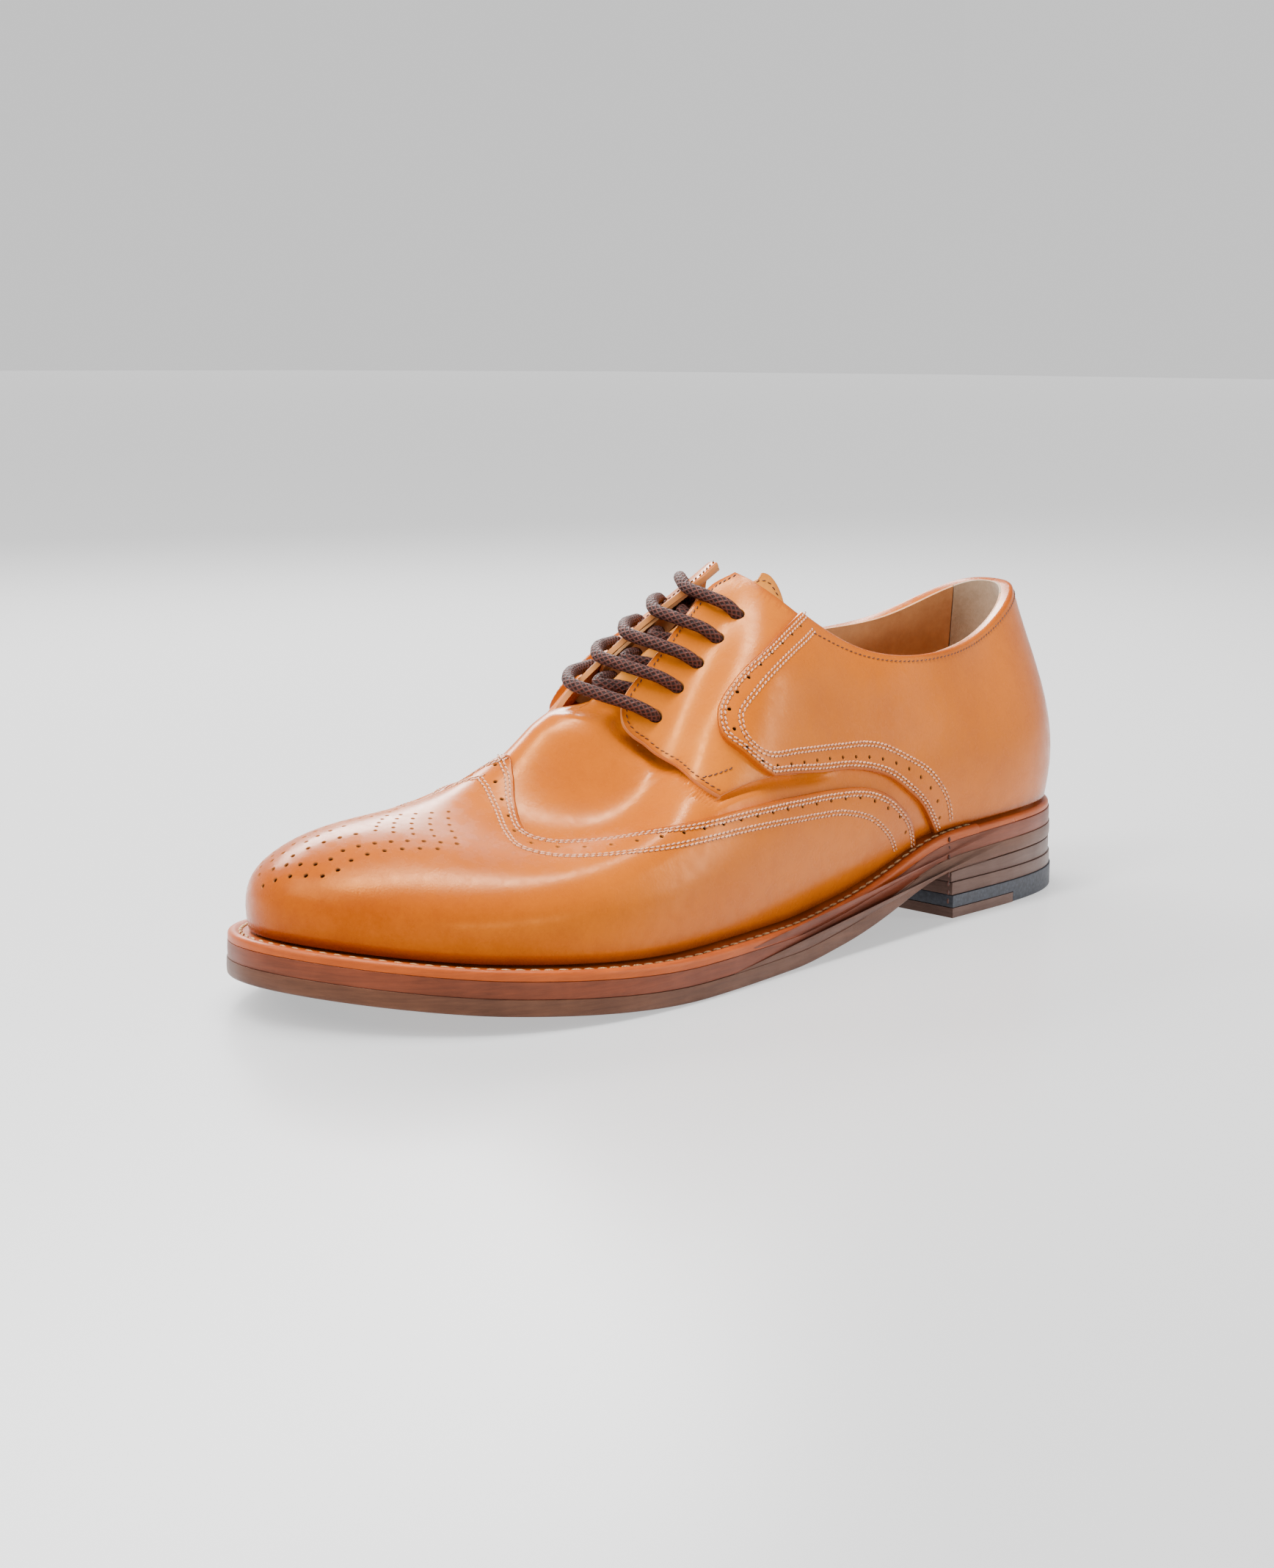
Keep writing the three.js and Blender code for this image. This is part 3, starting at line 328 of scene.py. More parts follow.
def sampled(points, pitch):
    """The (u, v) curve through points, at about one sample a pitch along the surface."""
    dense = spline(points, np.linspace(0, 1, 30 * len(points)))
    position = surface(dense[:, 0], dense[:, 1])
    run = np.concatenate([[0], np.cumsum(np.linalg.norm(np.diff(position, axis=0), axis=1))])
    count = max(2, int(round(run[-1] / pitch)) + 1)
    at = np.linspace(0, run[-1], count)
    return np.stack([np.interp(at, run, dense[:, k]) for k in (0, 1)], axis=-1)


def mirrored(points):
    p = np.array(points, float)
    p[..., 0] = 1 - p[..., 0]
    return p


def both_sides(points):
    return np.concatenate([np.array(points, float), mirrored(points[:-1])[::-1]])

# ---- pattern lines in (u, v), outer side ---------------------------------------------------------

WING_EDGE = [
    (0.177, 0), (0.192, 0.175), (0.208, 0.335), (0.226, 0.432), (0.25, 0.47), (0.275, 0.47),
    (0.3, 0.468), (0.342, 0.486), (0.386, 0.53), (0.415, 0.545), (0.432, 0.535), (0.447, 0.565),
    (0.466, 0.67), (0.482, 0.75), (0.5, 0.79),
]
VAMP_FRONT = [
    (0.15, 0), (0.175, 0), (0.2, 0.02), (0.222, 0.2), (0.25, 0.29), (0.3, 0.29), (0.342, 0.3),
    (0.386, 0.34), (0.43, 0.35), (0.466, 0.46), (0.5, 0.56),
]
VAMP_BACK = [
    (0.15, 0.06), (0.165, 0.25), (0.182, 0.43), (0.205, 0.58), (0.235, 0.65), (0.262, 0.66),
    (0.29, 0.67), (0.32, 0.72), (0.35, 0.8), (0.385, 0.855), (0.42, 0.882), (0.445, 0.896),
    (0.47, 0.903), (0.5, 0.905),
]
QUARTER_LOW = [
    (0.165, 0), (0.174, 0.08), (0.189, 0.242), (0.209, 0.437), (0.232, 0.535), (0.26, 0.559),
    (0.291, 0.568),
]
QUARTER_FRONT = [
    (0.291, 0.568), (0.3, 0.602), (0.322, 0.7), (0.343, 0.772), (0.358, 0.833), (0.3615, 0.866),
    (0.353, 0.896), (0.333, 0.932), (0.322, 0.97), (0.317, 1),
]
TAB_LOW = [(0.272, 0.562), (0.291, 0.568), (0.31, 0.567), (0.328, 0.566)]
TAB_FRONT = [
    (0.328, 0.566), (0.357, 0.684), (0.389, 0.781), (0.422, 0.834), (0.438, 0.851),
    (0.449, 0.867), (0.458, 0.894), (0.459, 0.92), (0.461, 0.95), (0.471, 0.978), (0.478, 0.99),
    (0.462, 1),
]
TAB_BACK = [
    (0.272, 0.562), (0.285, 0.62), (0.302, 0.69), (0.318, 0.76), (0.325, 0.83), (0.318, 0.87),
    (0.305, 0.92), (0.3, 1),
]
LINING_LOW = [
    (0.0585, 0.02), (0.09, 0.02), (0.118, 0.02), (0.14, 0.05), (0.155, 0.28), (0.172, 0.47),
    (0.196, 0.62), (0.228, 0.69), (0.26, 0.7), (0.29, 0.71), (0.32, 0.76), (0.35, 0.835),
    (0.385, 0.878), (0.42, 0.9), (0.445, 0.912), (0.457, 0.918),
]
LINING_FRONT = [(0.457, 0.918), (0.459, 0.935), (0.461, 0.955), (0.464, 0.98), (0.462, 1)]
HEEL_GRIP = 0.0575
SEAM = 0.0006
TONGUE_ROOT = 0.909
TONGUE_SIDE = [
    (0.44, TONGUE_ROOT), (0.425, 0.935), (0.405, 0.96), (0.375, 0.98), (0.34, 1), (0.315, 1.02),
]
TONGUE_TOP = [
    (0.315, 1.02), (0.335, 1.03), (0.36, 1.029), (0.4, 1.019), (0.45, 1.01), (0.5, 1.004),
    (0.55, 1), (0.6, 1), (0.64, 1.002), (0.67, 1.004), (0.68, 1.004),
]
TONGUE_INNER_SIDE = [
    (0.56, TONGUE_ROOT), (0.575, 0.935), (0.595, 0.96), (0.625, 0.98), (0.655, 0.994),
    (0.68, 1.004),
]
OUTER_HOLES = [(0.4295, 0.877), (0.425, 0.91), (0.419, 0.934), (0.412, 0.956), (0.402, 0.976)]
INNER_HOLES = [
    (0.5747, 0.908), (0.5803, 0.9315), (0.5864, 0.951), (0.5942, 0.9685), (0.6015, 0.985),
]
TAB_EDGE = [
    (0.25, 0.55), (0.328, 0.565), (0.357, 0.684), (0.389, 0.781), (0.422, 0.834),
    (0.449, 0.866), (0.46, 0.885), (0.5, 0.885),
]
# Rows of stitches and punched holes.
WING_STITCH = [
    (0.192, 0.026), (0.204, 0.14), (0.219, 0.262), (0.237, 0.342), (0.256, 0.372),
    (0.278, 0.378), (0.317, 0.385), (0.354, 0.392), (0.381, 0.405), (0.405, 0.418),
    (0.421, 0.434), (0.437, 0.47), (0.452, 0.545), (0.47, 0.645), (0.486, 0.708), (0.5, 0.735),
]
WING_HOLES = [
    (0.187, 0.05), (0.196, 0.165), (0.209, 0.272), (0.224, 0.372), (0.243, 0.414),
    (0.266, 0.424), (0.3, 0.424), (0.342, 0.438), (0.386, 0.468), (0.413, 0.482),
    (0.431, 0.487), (0.445, 0.525), (0.461, 0.615), (0.479, 0.7), (0.5, 0.765),
]
QUARTER_STITCH = [
    (0.157, 0.02), (0.17, 0.204), (0.185, 0.385), (0.207, 0.563), (0.225, 0.639), (0.249, 0.653),
    (0.274, 0.645), (0.291, 0.64), (0.303, 0.66), (0.319, 0.725), (0.331, 0.788),
    (0.334, 0.825), (0.325, 0.856), (0.31, 0.908), (0.3, 0.955), (0.297, 0.985),
]
QUARTER_HOLES = [
    (0.164, 0.03), (0.172, 0.166), (0.18, 0.263), (0.189, 0.371), (0.2, 0.465), (0.212, 0.537),
    (0.225, 0.583), (0.237, 0.603), (0.249, 0.612), (0.262, 0.611), (0.28, 0.604),
    (0.295, 0.612), (0.31, 0.669), (0.326, 0.741), (0.34, 0.804), (0.3475, 0.848),
    (0.339, 0.88), (0.326, 0.914), (0.313, 0.955), (0.308, 0.985),
]


def smoothstep(x, low, high):
    f = np.clip((np.asarray(x, float) - low) / (high - low), 0, 1)
    return f * f * (3 - 2 * f)


def vamp_depth(u, v):
    """The vamp dips under the lace tabs, and drops to the tongue at the throat."""
    side = np.minimum(u, 1 - np.asarray(u, float))
    table = np.array(TAB_EDGE)
    edge = np.interp(side, table[:, 0], table[:, 1])
    under = smoothstep(side, 0.24, 0.262) * smoothstep(v - edge, -0.05, -0.003)
    throat = smoothstep(side, 0.36, 0.43) * smoothstep(v - edge, -0.024, 0.014)
    return SECOND_SHEET - PLY * under - (SECOND_SHEET - PLY - TONGUE_SHEET) * throat


# ---- making meshes -------------------------------------------------------------------------------

NET = np.array([560, 130])  # about how many mm one unit of u and of v spans, to even out triangles


def make_object(name, points, faces, material, body="shoe", marks=None, sharp=35):
    """A mesh object from points in last coordinates; marks are named numbers, one per point."""
    mesh = bpy.data.meshes.new(name)
    mesh.from_pydata(place(points).tolist(), [], faces)
    mesh.validate()
    mesh.polygons.foreach_set("use_smooth", [True] * len(mesh.polygons))
    if sharp:
        mesh.set_sharp_from_angle(angle=math.radians(sharp))
    for mark, values in (marks or {}).items():
        layer = mesh.attributes.new(mark, "FLOAT", "POINT")
        layer.data.foreach_set("value", np.asarray(values, np.float32))
    mesh.materials.append(material)
    obj = bpy.data.objects.new(name, mesh)
    bpy.context.scene.collection.objects.link(obj)
    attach(obj, body)
    return obj


def inside_loop(loop, points):
    """Which points lie inside a closed loop, by counting crossings."""
    x, y = points[:, 0][:, None], points[:, 1][:, None]
    x0, y0 = loop[:, 0][None], loop[:, 1][None]
    x1, y1 = np.roll(loop[:, 0], -1)[None], np.roll(loop[:, 1], -1)[None]
    spans = (y0 > y) != (y1 > y)
    slope = np.where(y1 == y0, 1e-12, y1 - y0)
    crossings = spans & (x < (x1 - x0) * (y - y0) / slope + x0)
    return crossings.sum(axis=1) % 2 == 1


def tree_of(points):
    tree = kdtree.KDTree(len(points))
    for i, p in enumerate(points):
        tree.insert(p, i)
    tree.balance()
    return tree


def distances(tree, points):
    return np.array([tree.find(p)[2] for p in points])


def ring_at(u, v, w, radius, count):
    """(u, v) points of a circle that lies in the surface."""
    step = 1e-3
    across = (offset(u + step, v, w) - offset(u - step, v, w)) / (2 * step)
    up = (offset(u, v + step, w) - offset(u, v - step, w)) / (2 * step)
    e1 = across / np.linalg.norm(across)
    e2 = up - up.dot(e1) * e1
    e2 /= np.linalg.norm(e2)
    jacobian = np.array([[across.dot(e1), up.dot(e1)], [across.dot(e2), up.dot(e2)]])
    angle = np.arange(count) * 2 * math.pi / count
    circle = radius * np.stack([np.cos(angle), np.sin(angle)])
    return np.array([u, v]) + np.linalg.solve(jacobian, circle).T


def loop_frame(points, normals):
    """Inward directions of a closed border that runs anticlockwise in (u, v)."""
    tangent = np.roll(points, -1, axis=0) - np.roll(points, 1, axis=0)
    inward = np.cross(tangent, normals)
    return inward / np.maximum(np.linalg.norm(inward, axis=1, keepdims=True), 1e-9)


def skin(name, loop, depth, thickness, material, holes=(), grain=2.6, bead=0.45, lip=None,
         lip_depth=3.4, wall=None, raw_edge=0.0, body="shoe"):
    """One leather cut to a (u, v) loop, with rounded edges and holes (u, v, radius); the holes' walls
    are darkened with painted shade, and small holes end in a dark disc of painted shade.

    lip gives a deeper, rounder edge at a loop point, as where leather is turned over a lining."""
    loop = np.array(loop, float)
    area = np.sum(loop[:, 0] * np.roll(loop[:, 1], -1) - loop[:, 1] * np.roll(loop[:, 0], -1))
    if area < 0:
        loop = loop[::-1]
    low, high = loop.min(axis=0), loop.max(axis=0)
    normal_at_rim = surface_normal(loop[:, 0], loop[:, 1])
    rim = offset(loop[:, 0], loop[:, 1], depth(loop[:, 0], loop[:, 1]))
    rim_tree = tree_of(rim)
    # Fill points: a fine regular net, thinned where the surface is small, off borders and holes.
    net_u = np.linspace(low[0], high[0], max(3, int((high[0] - low[0]) * NET[0] / grain)))
    rows = np.linspace(low[1], high[1], max(3, int((high[1] - low[1]) * NET[1] / grain)))
    fine = rows[rows > 0.8]
    rows = np.concatenate([rows, (fine[1:] + fine[:-1]) / 2, fine[:-1] + np.diff(fine) / 4,
                           fine[:-1] + np.diff(fine) * 0.75])
    grid = np.stack(np.meshgrid(net_u, rows), axis=-1).reshape(-1, 2)
    grid = grid[inside_loop(loop, grid)]
    position = offset(grid[:, 0], grid[:, 1], depth(grid[:, 0], grid[:, 1]))
    keep = distances(rim_tree, position) > max(bead * 1.6, 0.9)
    sets = [loop]
    for u, v, radius in holes:
        w = float(depth(np.array(u), np.array(v)))
        centre = offset(u, v, w)
        keep &= np.linalg.norm(position - centre, axis=1) > radius + 0.55
        count = 10 if radius < 1.5 else 20
        sets.append(ring_at(u, v, w, radius + 0.07, count))
    flat = np.concatenate([*sets, grid[keep]])
    scaled = flat * NET
    edges = [(i, (i + 1) % len(loop)) for i in range(len(loop))]
    starts = []
    at = len(loop)
    for ring in sets[1:]:
        starts.append((at, len(ring)))
        edges += [(at + i, at + (i + 1) % len(ring)) for i in range(len(ring))]
        at += len(ring)
    result = geometry.delaunay_2d_cdt([Vector(p) for p in scaled], edges, [], 0, 1e-7, True)
    found, _, faces, sources = result[0], result[1], result[2], result[3]
    flat = np.array([list(p) for p in found]) / NET
    back = {}
    for i, source in enumerate(sources):
        for original in source:
            back[original] = i
    faces = np.array([f for f in faces if len(f) == 3])
    middle = flat[faces].mean(axis=1)
    good = inside_loop(loop, middle)
    for ring in sets[1:]:
        box = np.abs(middle - ring.mean(axis=0)) < 1.3 * np.ptp(ring, axis=0)
        near = np.where(box.all(axis=1) & good)[0]
        if len(near):
            good[near] = ~inside_loop(ring, middle[near])
    faces = faces[good]
    count = len(flat)
    normals = surface_normal(flat[:, 0], flat[:, 1])
    top = surface(flat[:, 0], flat[:, 1]) + normals * depth(flat[:, 0], flat[:, 1])[:, None]
    rounding = np.full(len(loop), bead)
    wall = np.full(len(loop), thickness + 0.6 if wall is None else wall)
    if lip is not None:
        turned = lip(loop)
        rounding = rounding + turned * 0.7
        wall = wall + turned * (lip_depth - wall)
    border = np.array([back[i] for i in range(len(loop))])
    inward = loop_frame(rim, normal_at_rim)
    top[border] = rim + inward * rounding[:, None]
    points = [top, top - normals * thickness]
    faces_out = [tuple(f[::-1]) for f in faces.tolist()]
    faces_out += [tuple(i + count for i in f) for f in faces.tolist()]
    pit = [np.zeros(count), np.zeros(count)]
    raw = [np.zeros(count), np.zeros(count)]
    total = 2 * count
    previous = border
    for angle in (30, 60, 90):
        a = math.radians(angle)
        shift = inward * (rounding * (1 - math.sin(a)))[:, None]
        sink = normal_at_rim * (rounding * (1 - math.cos(a)))[:, None]
        ids = total + np.arange(len(loop))
        points.append(rim + shift - sink)
        pit.append(np.zeros(len(loop)))
        raw.append(np.full(len(loop), raw_edge * (angle > 45)))
        faces_out += [(int(previous[i]), int(previous[j]), int(ids[j]), int(ids[i]))
                      for i, j in edges[: len(loop)]]
        total += len(loop)
        previous = ids
    ids = total + np.arange(len(loop))
    points.append(rim - normal_at_rim * wall[:, None])
    pit.append(np.zeros(len(loop)))
    raw.append(np.full(len(loop), raw_edge))
    faces_out += [(int(previous[i]), int(previous[j]), int(ids[j]), int(ids[i]))
                  for i, j in edges[: len(loop)]]
    faces_out += [(int(ids[i]), int(ids[j]), int(border[j] + count), int(border[i] + count))
                  for i, j in edges[: len(loop)]]
    total += len(loop)
    for (u, v, radius), (start, size), ring in zip(holes, starts, sets[1:]):
        w = float(depth(np.array(u), np.array(v)))
        centre, n = offset(u, v, w), surface_normal(np.float64(u), np.float64(v))
        spokes = offset(ring[:, 0], ring[:, 1], w) - centre
        spokes /= np.linalg.norm(spokes, axis=1, keepdims=True)
        here = np.array([back[start + i] for i in range(size)])
        # Rings down each hole's wall; the last number darkens them, most at the bottom: painted shade
        # inside the hole.
        for reach, sink, dark in ((radius, 0.15, 0), (radius * 0.96, thickness * 0.55, 0.7),
                                  (radius * 0.9, thickness * 0.95, 1)):
            ids = total + np.arange(size)
            points.append(centre + spokes * reach - n * sink)
            pit.append(np.full(size, dark))
            raw.append(np.full(size, 0.8 * (sink > 0.1)))
            faces_out += [(int(here[(i + 1) % size]), int(here[i]), int(ids[i]),
                           int(ids[(i + 1) % size])) for i in range(size)]
            total += size
            here = ids
        # A dark disc closes each small hole: painted shade where the hole goes down into the layers
        # below.
        if radius < 1.5:
            faces_out.append(tuple(int(i) for i in here[::-1]))
    points = np.concatenate(points)
    rim_distance = distances(rim_tree, points)
    height = points[:, 2] - underside(points[:, 0]) - WELT_TOP
    # Marks for the colour: painted shade inside the holes and in the crease just above the welt, pale
    # raw leather, and nearness to a cut edge.
    marks = {"pit": np.concatenate(pit), "raw": np.concatenate(raw),
             "edge": np.exp(-rim_distance / 0.9), "crease": np.exp(-np.abs(height) / 1.6)}
    return make_object(name, points, faces_out, material, body, marks, sharp=38)


def beads(name, spots, material, body="shoe", fine=True):
    """Stitches: one small rounded bar per spot (centre, along, normal, length, width, height)."""
    rings, sides = (4, 6) if fine else (2, 5)
    unit, faces = [], []
    for i in range(rings + 1):
        a = math.pi * i / rings
        for k in range(sides):
            b = 2 * math.pi * k / sides
            unit.append((-math.cos(a), math.sin(a) * math.cos(b), math.sin(a) * math.sin(b)))
    for i in range(rings):
        for k in range(sides):
            n = (k + 1) % sides
            faces.append((i * sides + k, i * sides + n, (i + 1) * sides + n, (i + 1) * sides + k))
    unit = np.array(unit)
    points, polygons = [], []
    for index, (centre, along, normal, length, width, height) in enumerate(spots):
        side = np.cross(normal, along)
        frame3 = np.stack([along * length / 2, side * width / 2, normal * height / 2])
        points.append(centre + unit @ frame3)
        start = index * len(unit)
        polygons += [tuple(start + i for i in f) for f in faces]
    return make_object(name, np.concatenate(points), polygons, material, body, sharp=0)


def stitch_spots(line, w, pitch=1.7, length=1.5, width=0.6, height=0.5, shift=0.0, slant=0.25):
    """Spots of a row of stitches along a (u, v) line; shift moves the row sideways, in mm."""
    path = sampled(line, pitch / 4)
    normals = surface_normal(path[:, 0], path[:, 1])
    depth = w(path[:, 0], path[:, 1]) if callable(w) else np.full(len(path), w)
    position = offset(path[:, 0], path[:, 1], depth)
    along = np.gradient(position, axis=0)
    along /= np.linalg.norm(along, axis=1, keepdims=True)
    position = position + np.cross(normals, along) * shift
    run = np.concatenate([[0], np.cumsum(np.linalg.norm(np.diff(position, axis=0), axis=1))])
    spots = []
    for i in np.searchsorted(run, np.arange(pitch / 2, run[-1], pitch)):
        i = min(int(i), len(run) - 1)
        leaning = along[i] + np.cross(normals[i], along[i]) * slant
        leaning /= np.linalg.norm(leaning)
        spots.append((position[i], leaning, normals[i], length, width, height))
    return spots


def needle_spots(spots):
    """A small dark bead at each end of each stitch: painted shade in the needle hole."""
    return [(centre + along * length * 0.55 - normal * 0.04, along, normal, 0.5, 0.62, 0.34)
            for centre, along, normal, length, _, _ in spots]


def hole_row(line, w, pitch, radius, ends=(0.0, 0.0)):
    """Punched holes (u, v, radius) at an even pitch along a line."""
    path = sampled(line, 0.4)
    position = offset(path[:, 0], path[:, 1], np.full(len(path), w))
    run = np.concatenate([[0], np.cumsum(np.linalg.norm(np.diff(position, axis=0), axis=1))])
    count = int(round((run[-1] - ends[0] - ends[1]) / pitch)) + 1
    at = np.linspace(ends[0], run[-1] - ends[1], count)
    us, vs = np.interp(at, run, path[:, 0]), np.interp(at, run, path[:, 1])
    return [(float(u), float(v), radius) for u, v in zip(us, vs)]

# ---- materials -----------------------------------------------------------------------------------


class Nodes:
    """A material's node tree, with short ways to add nodes and join them."""

    def __init__(self, name):
        self.material = bpy.data.materials.new(name)
        self.material.use_nodes = True
        self.tree = self.material.node_tree
        self.shader = self.tree.nodes["Principled BSDF"]
        self.place = self.add("ShaderNodeTexCoord").outputs["Object"]

    def add(self, kind, inputs=None, **settings):
        node = self.tree.nodes.new(kind)
        for key, value in settings.items():
            setattr(node, key, value)
        for key, value in (inputs or {}).items():
            self.set(node.inputs[key], value)
        return node

    def set(self, socket, value):
        if isinstance(value, bpy.types.NodeSocket):
            self.tree.links.new(value, socket)
        else:
            socket.default_value = value

    def noise(self, scale, detail=3, roughness=0.6, vector=None, distortion=0.0):
        return self.add("ShaderNodeTexNoise", {"Vector": vector or self.place, "Scale": scale,
                        "Detail": detail, "Roughness": roughness, "Distortion": distortion}
                        ).outputs["Fac"]

    def stretched(self, scale):
        return self.add("ShaderNodeMapping", {"Vector": self.place, "Scale": scale}).outputs[0]

    def range(self, value, low, high, to_low=0.0, to_high=1.0):
        return self.add("ShaderNodeMapRange", {"Value": value, "From Min": low, "From Max": high,
                        "To Min": to_low, "To Max": to_high}).outputs[0]

    def math(self, operation, a, b=0.0):
        node = self.add("ShaderNodeMath", operation=operation, use_clamp=False)
        self.set(node.inputs[0], a)
        self.set(node.inputs[1], b)
        return node.outputs[0]

    def mix(self, share, a, b, blend="MIX"):
        node = self.add("ShaderNodeMix", data_type="RGBA", blend_type=blend)
        self.set(node.inputs["Factor"], share)
        self.set(node.inputs["A"], a)
        self.set(node.inputs["B"], b)
        return node.outputs["Result"]

    def mark(self, name):
        return self.add("ShaderNodeAttribute", attribute_name=name).outputs["Fac"]

    def bump(self, height, distance, strength=1.0, normal=None):
        inputs = {"Height": height, "Distance": distance, "Strength": strength}
        if normal is not None:
            inputs["Normal"] = normal
        return self.add("ShaderNodeBump", inputs).outputs["Normal"]

    def finish(self, **sockets):
        for name, value in sockets.items():
            self.set(self.shader.inputs[name.replace("_", " ")], value)
        return self.material


def rgb(r, g, b):
    """A colour given as the eye sees it, 0 to 255, as the shader's linear one."""
    linear = [c / 12.92 if c <= 0.04045 else ((c + 0.055) / 1.055) ** 2.4
              for c in (r / 255, g / 255, b / 255)]
    return (*linear, 1)


WAX_TINT = (1.0, 0.42, 0.08, 1)


def tan_leather(name, light=(196, 101, 7), dark=(134, 47, 2), gloss=0.25):
    """Burnished, waxed calf: darker at toe, heel and edges, pale where it is cut, with painted shade
    in the punched holes and in the crease just above the welt.
    """
    n = Nodes(name)
    cloud = n.range(n.noise(26, 3, 0.55), 0.35, 0.7)
    fine = n.range(n.noise(900, 3, 0.7), 0.3, 0.7)
    mottle = n.range(n.noise(240, 3, 0.6), 0.35, 0.65)
    along = n.add("ShaderNodeSeparateXYZ", {"Vector": n.place}).outputs[1]
    toe = n.range(along, -0.08, -0.15, 0, 0.5)
    heel = n.range(along, 0.115, 0.152, 0, 0.5)
    shade = n.math("ADD", n.math("MULTIPLY", cloud, 0.3), n.math("MAXIMUM", toe, heel))
    shade = n.math("ADD", shade, n.math("MULTIPLY", fine, 0.12))
    shade = n.math("ADD", shade, n.math("MULTIPLY", mottle, 0.1))
    shade = n.math("ADD", shade, n.math("MULTIPLY", n.mark("edge"), 0.8))
    shade = n.range(shade, 0.1, 1.15)
    colour = n.mix(shade, rgb(*light), rgb(*dark))
    colour = n.mix(n.mark("raw"), colour, rgb(206, 140, 84))
    # Hole walls and bottoms get a near-black brown: painted shade inside the punched holes.
    colour = n.mix(n.mark("pit"), colour, rgb(40, 16, 8))
    # Dark brown just above the welt: painted shade in the crease between upper and welt.
    colour = n.mix(n.math("MULTIPLY", n.mark("crease"), 0.8), colour, rgb(58, 20, 4))
    pores = n.add("ShaderNodeTexVoronoi", {"Vector": n.place, "Scale": 1400.0}).outputs[0]
    grain = n.math("ADD", n.math("MULTIPLY", pores, 0.5), n.noise(700, 5, 0.7))
    normal = n.bump(grain, 0.00006, 0.4)
    normal = n.bump(n.noise(55, 2, 0.5), 0.0004, 0.2, normal)
    rough = n.range(mottle, 0, 1, gloss - 0.03, gloss + 0.06)
    rough = n.math("ADD", rough, n.math("MULTIPLY", n.mark("raw"), 0.4))
    return n.finish(Base_Color=colour, Roughness=rough, Normal=normal, Specular_IOR_Level=0.45,
                    Specular_Tint=WAX_TINT)


def plain_leather(name, light, dark, rough=0.6, scale=300, sheen=0.0, bump=0.00008):
    """Undyed or suede leather: two soft tones and a fibre grain."""
    n = Nodes(name)
    mottle = n.range(n.noise(60, 4, 0.6), 0.3, 0.7)
    fibre = n.range(n.noise(scale, 6, 0.75), 0.3, 0.7)
    shade = n.math("ADD", n.math("MULTIPLY", mottle, 0.5), n.math("MULTIPLY", fibre, 0.5))
    colour = n.mix(shade, rgb(*light), rgb(*dark))
    normal = n.bump(n.noise(scale * 3, 5, 0.8), bump, 0.6)
    n.finish(Base_Color=colour, Normal=normal, Roughness=rough)
    n.shader.inputs["Sheen Weight"].default_value = sheen
    return n.material


def sole_edge(name, light, dark, rough=0.38, streak=(60, 60, 900)):
    """Stacked leather edge: long faint streaks along the layer, waxed."""
    n = Nodes(name)
    lines = n.range(n.noise(1, 5, 0.7, n.stretched(streak), 0.6), 0.22, 0.78)
    cloud = n.range(n.noise(45, 4, 0.6), 0.3, 0.7)
    shade = n.math("ADD", n.math("MULTIPLY", lines, 0.6), n.math("MULTIPLY", cloud, 0.4))
    colour = n.mix(shade, rgb(*light), rgb(*dark))
    scratch = n.noise(1, 6, 0.8, n.stretched((300, 300, 2600)))
    normal = n.bump(scratch, 0.00012, 0.5)
    rough_map = n.range(cloud, 0, 1, rough - 0.08, rough + 0.12)
    return n.finish(Base_Color=colour, Roughness=rough_map, Normal=normal, Specular_IOR_Level=0.4,
                    Specular_Tint=(1.0, 0.62, 0.45, 1))


def thread(name, light, dark):
    """Waxed thread with the twist of its plies."""
    n = Nodes(name)
    twist = n.add("ShaderNodeTexWave", {"Vector": n.place, "Scale": 900.0, "Distortion": 2.0})
    colour = n.mix(twist.outputs["Fac"], rgb(*light), rgb(*dark))
    normal = n.bump(twist.outputs["Fac"], 0.00008, 0.5)
    return n.finish(Base_Color=colour, Roughness=0.55, Normal=normal)


def woven_lace(name):
    """Round braid: two sets of strands that cross, from the tube's turns (x) and millimetres (y)."""
    n = Nodes(name)
    uv = n.add("ShaderNodeUVMap", uv_map="braid").outputs["UV"]
    x, y = n.add("ShaderNodeSeparateXYZ", {"Vector": uv}).outputs[:2]
    around = n.math("MULTIPLY", x, 7 * 2 * math.pi)
    along = n.math("MULTIPLY", y, 2 * math.pi / 1.9)
    one = n.math("SINE", n.math("ADD", around, along))
    two = n.math("SINE", n.math("SUBTRACT", around, along))
    weave = n.range(n.math("MAXIMUM", one, two), -0.4, 1.0)
    fuzz = n.range(n.noise(1500, 4, 0.7), 0.3, 0.7)
    tone = n.range(n.noise(500, 2, 0.6), 0.35, 0.65)
    shade = n.math("MULTIPLY", weave, n.range(fuzz, 0, 1, 0.5, 1.0))
    shade = n.math("MULTIPLY", shade, n.range(tone, 0, 1, 0.6, 1.1))
    colour = n.mix(shade, rgb(26, 12, 10), rgb(112, 64, 54))
    normal = n.bump(weave, 0.0005, 0.9)
    normal = n.bump(fuzz, 0.0001, 0.5, normal)
    n.finish(Base_Color=colour, Roughness=0.62, Normal=normal)
    n.shader.inputs["Specular IOR Level"].default_value = 0.25
    return n.material


def metal(name, colour, rough):
    """Metal with uneven wear."""
    n = Nodes(name)
    wear = n.noise(500, 4, 0.7)
    tone = n.mix(n.range(wear, 0.3, 0.7), rgb(*colour), rgb(*[c * 0.7 for c in colour]))
    n.finish(Base_Color=tone, Roughness=n.range(wear, 0.3, 0.7, rough, rough + 0.2),
             Normal=n.bump(wear, 0.00003, 0.4))
    n.shader.inputs["Metallic"].default_value = 1.0
    return n.material


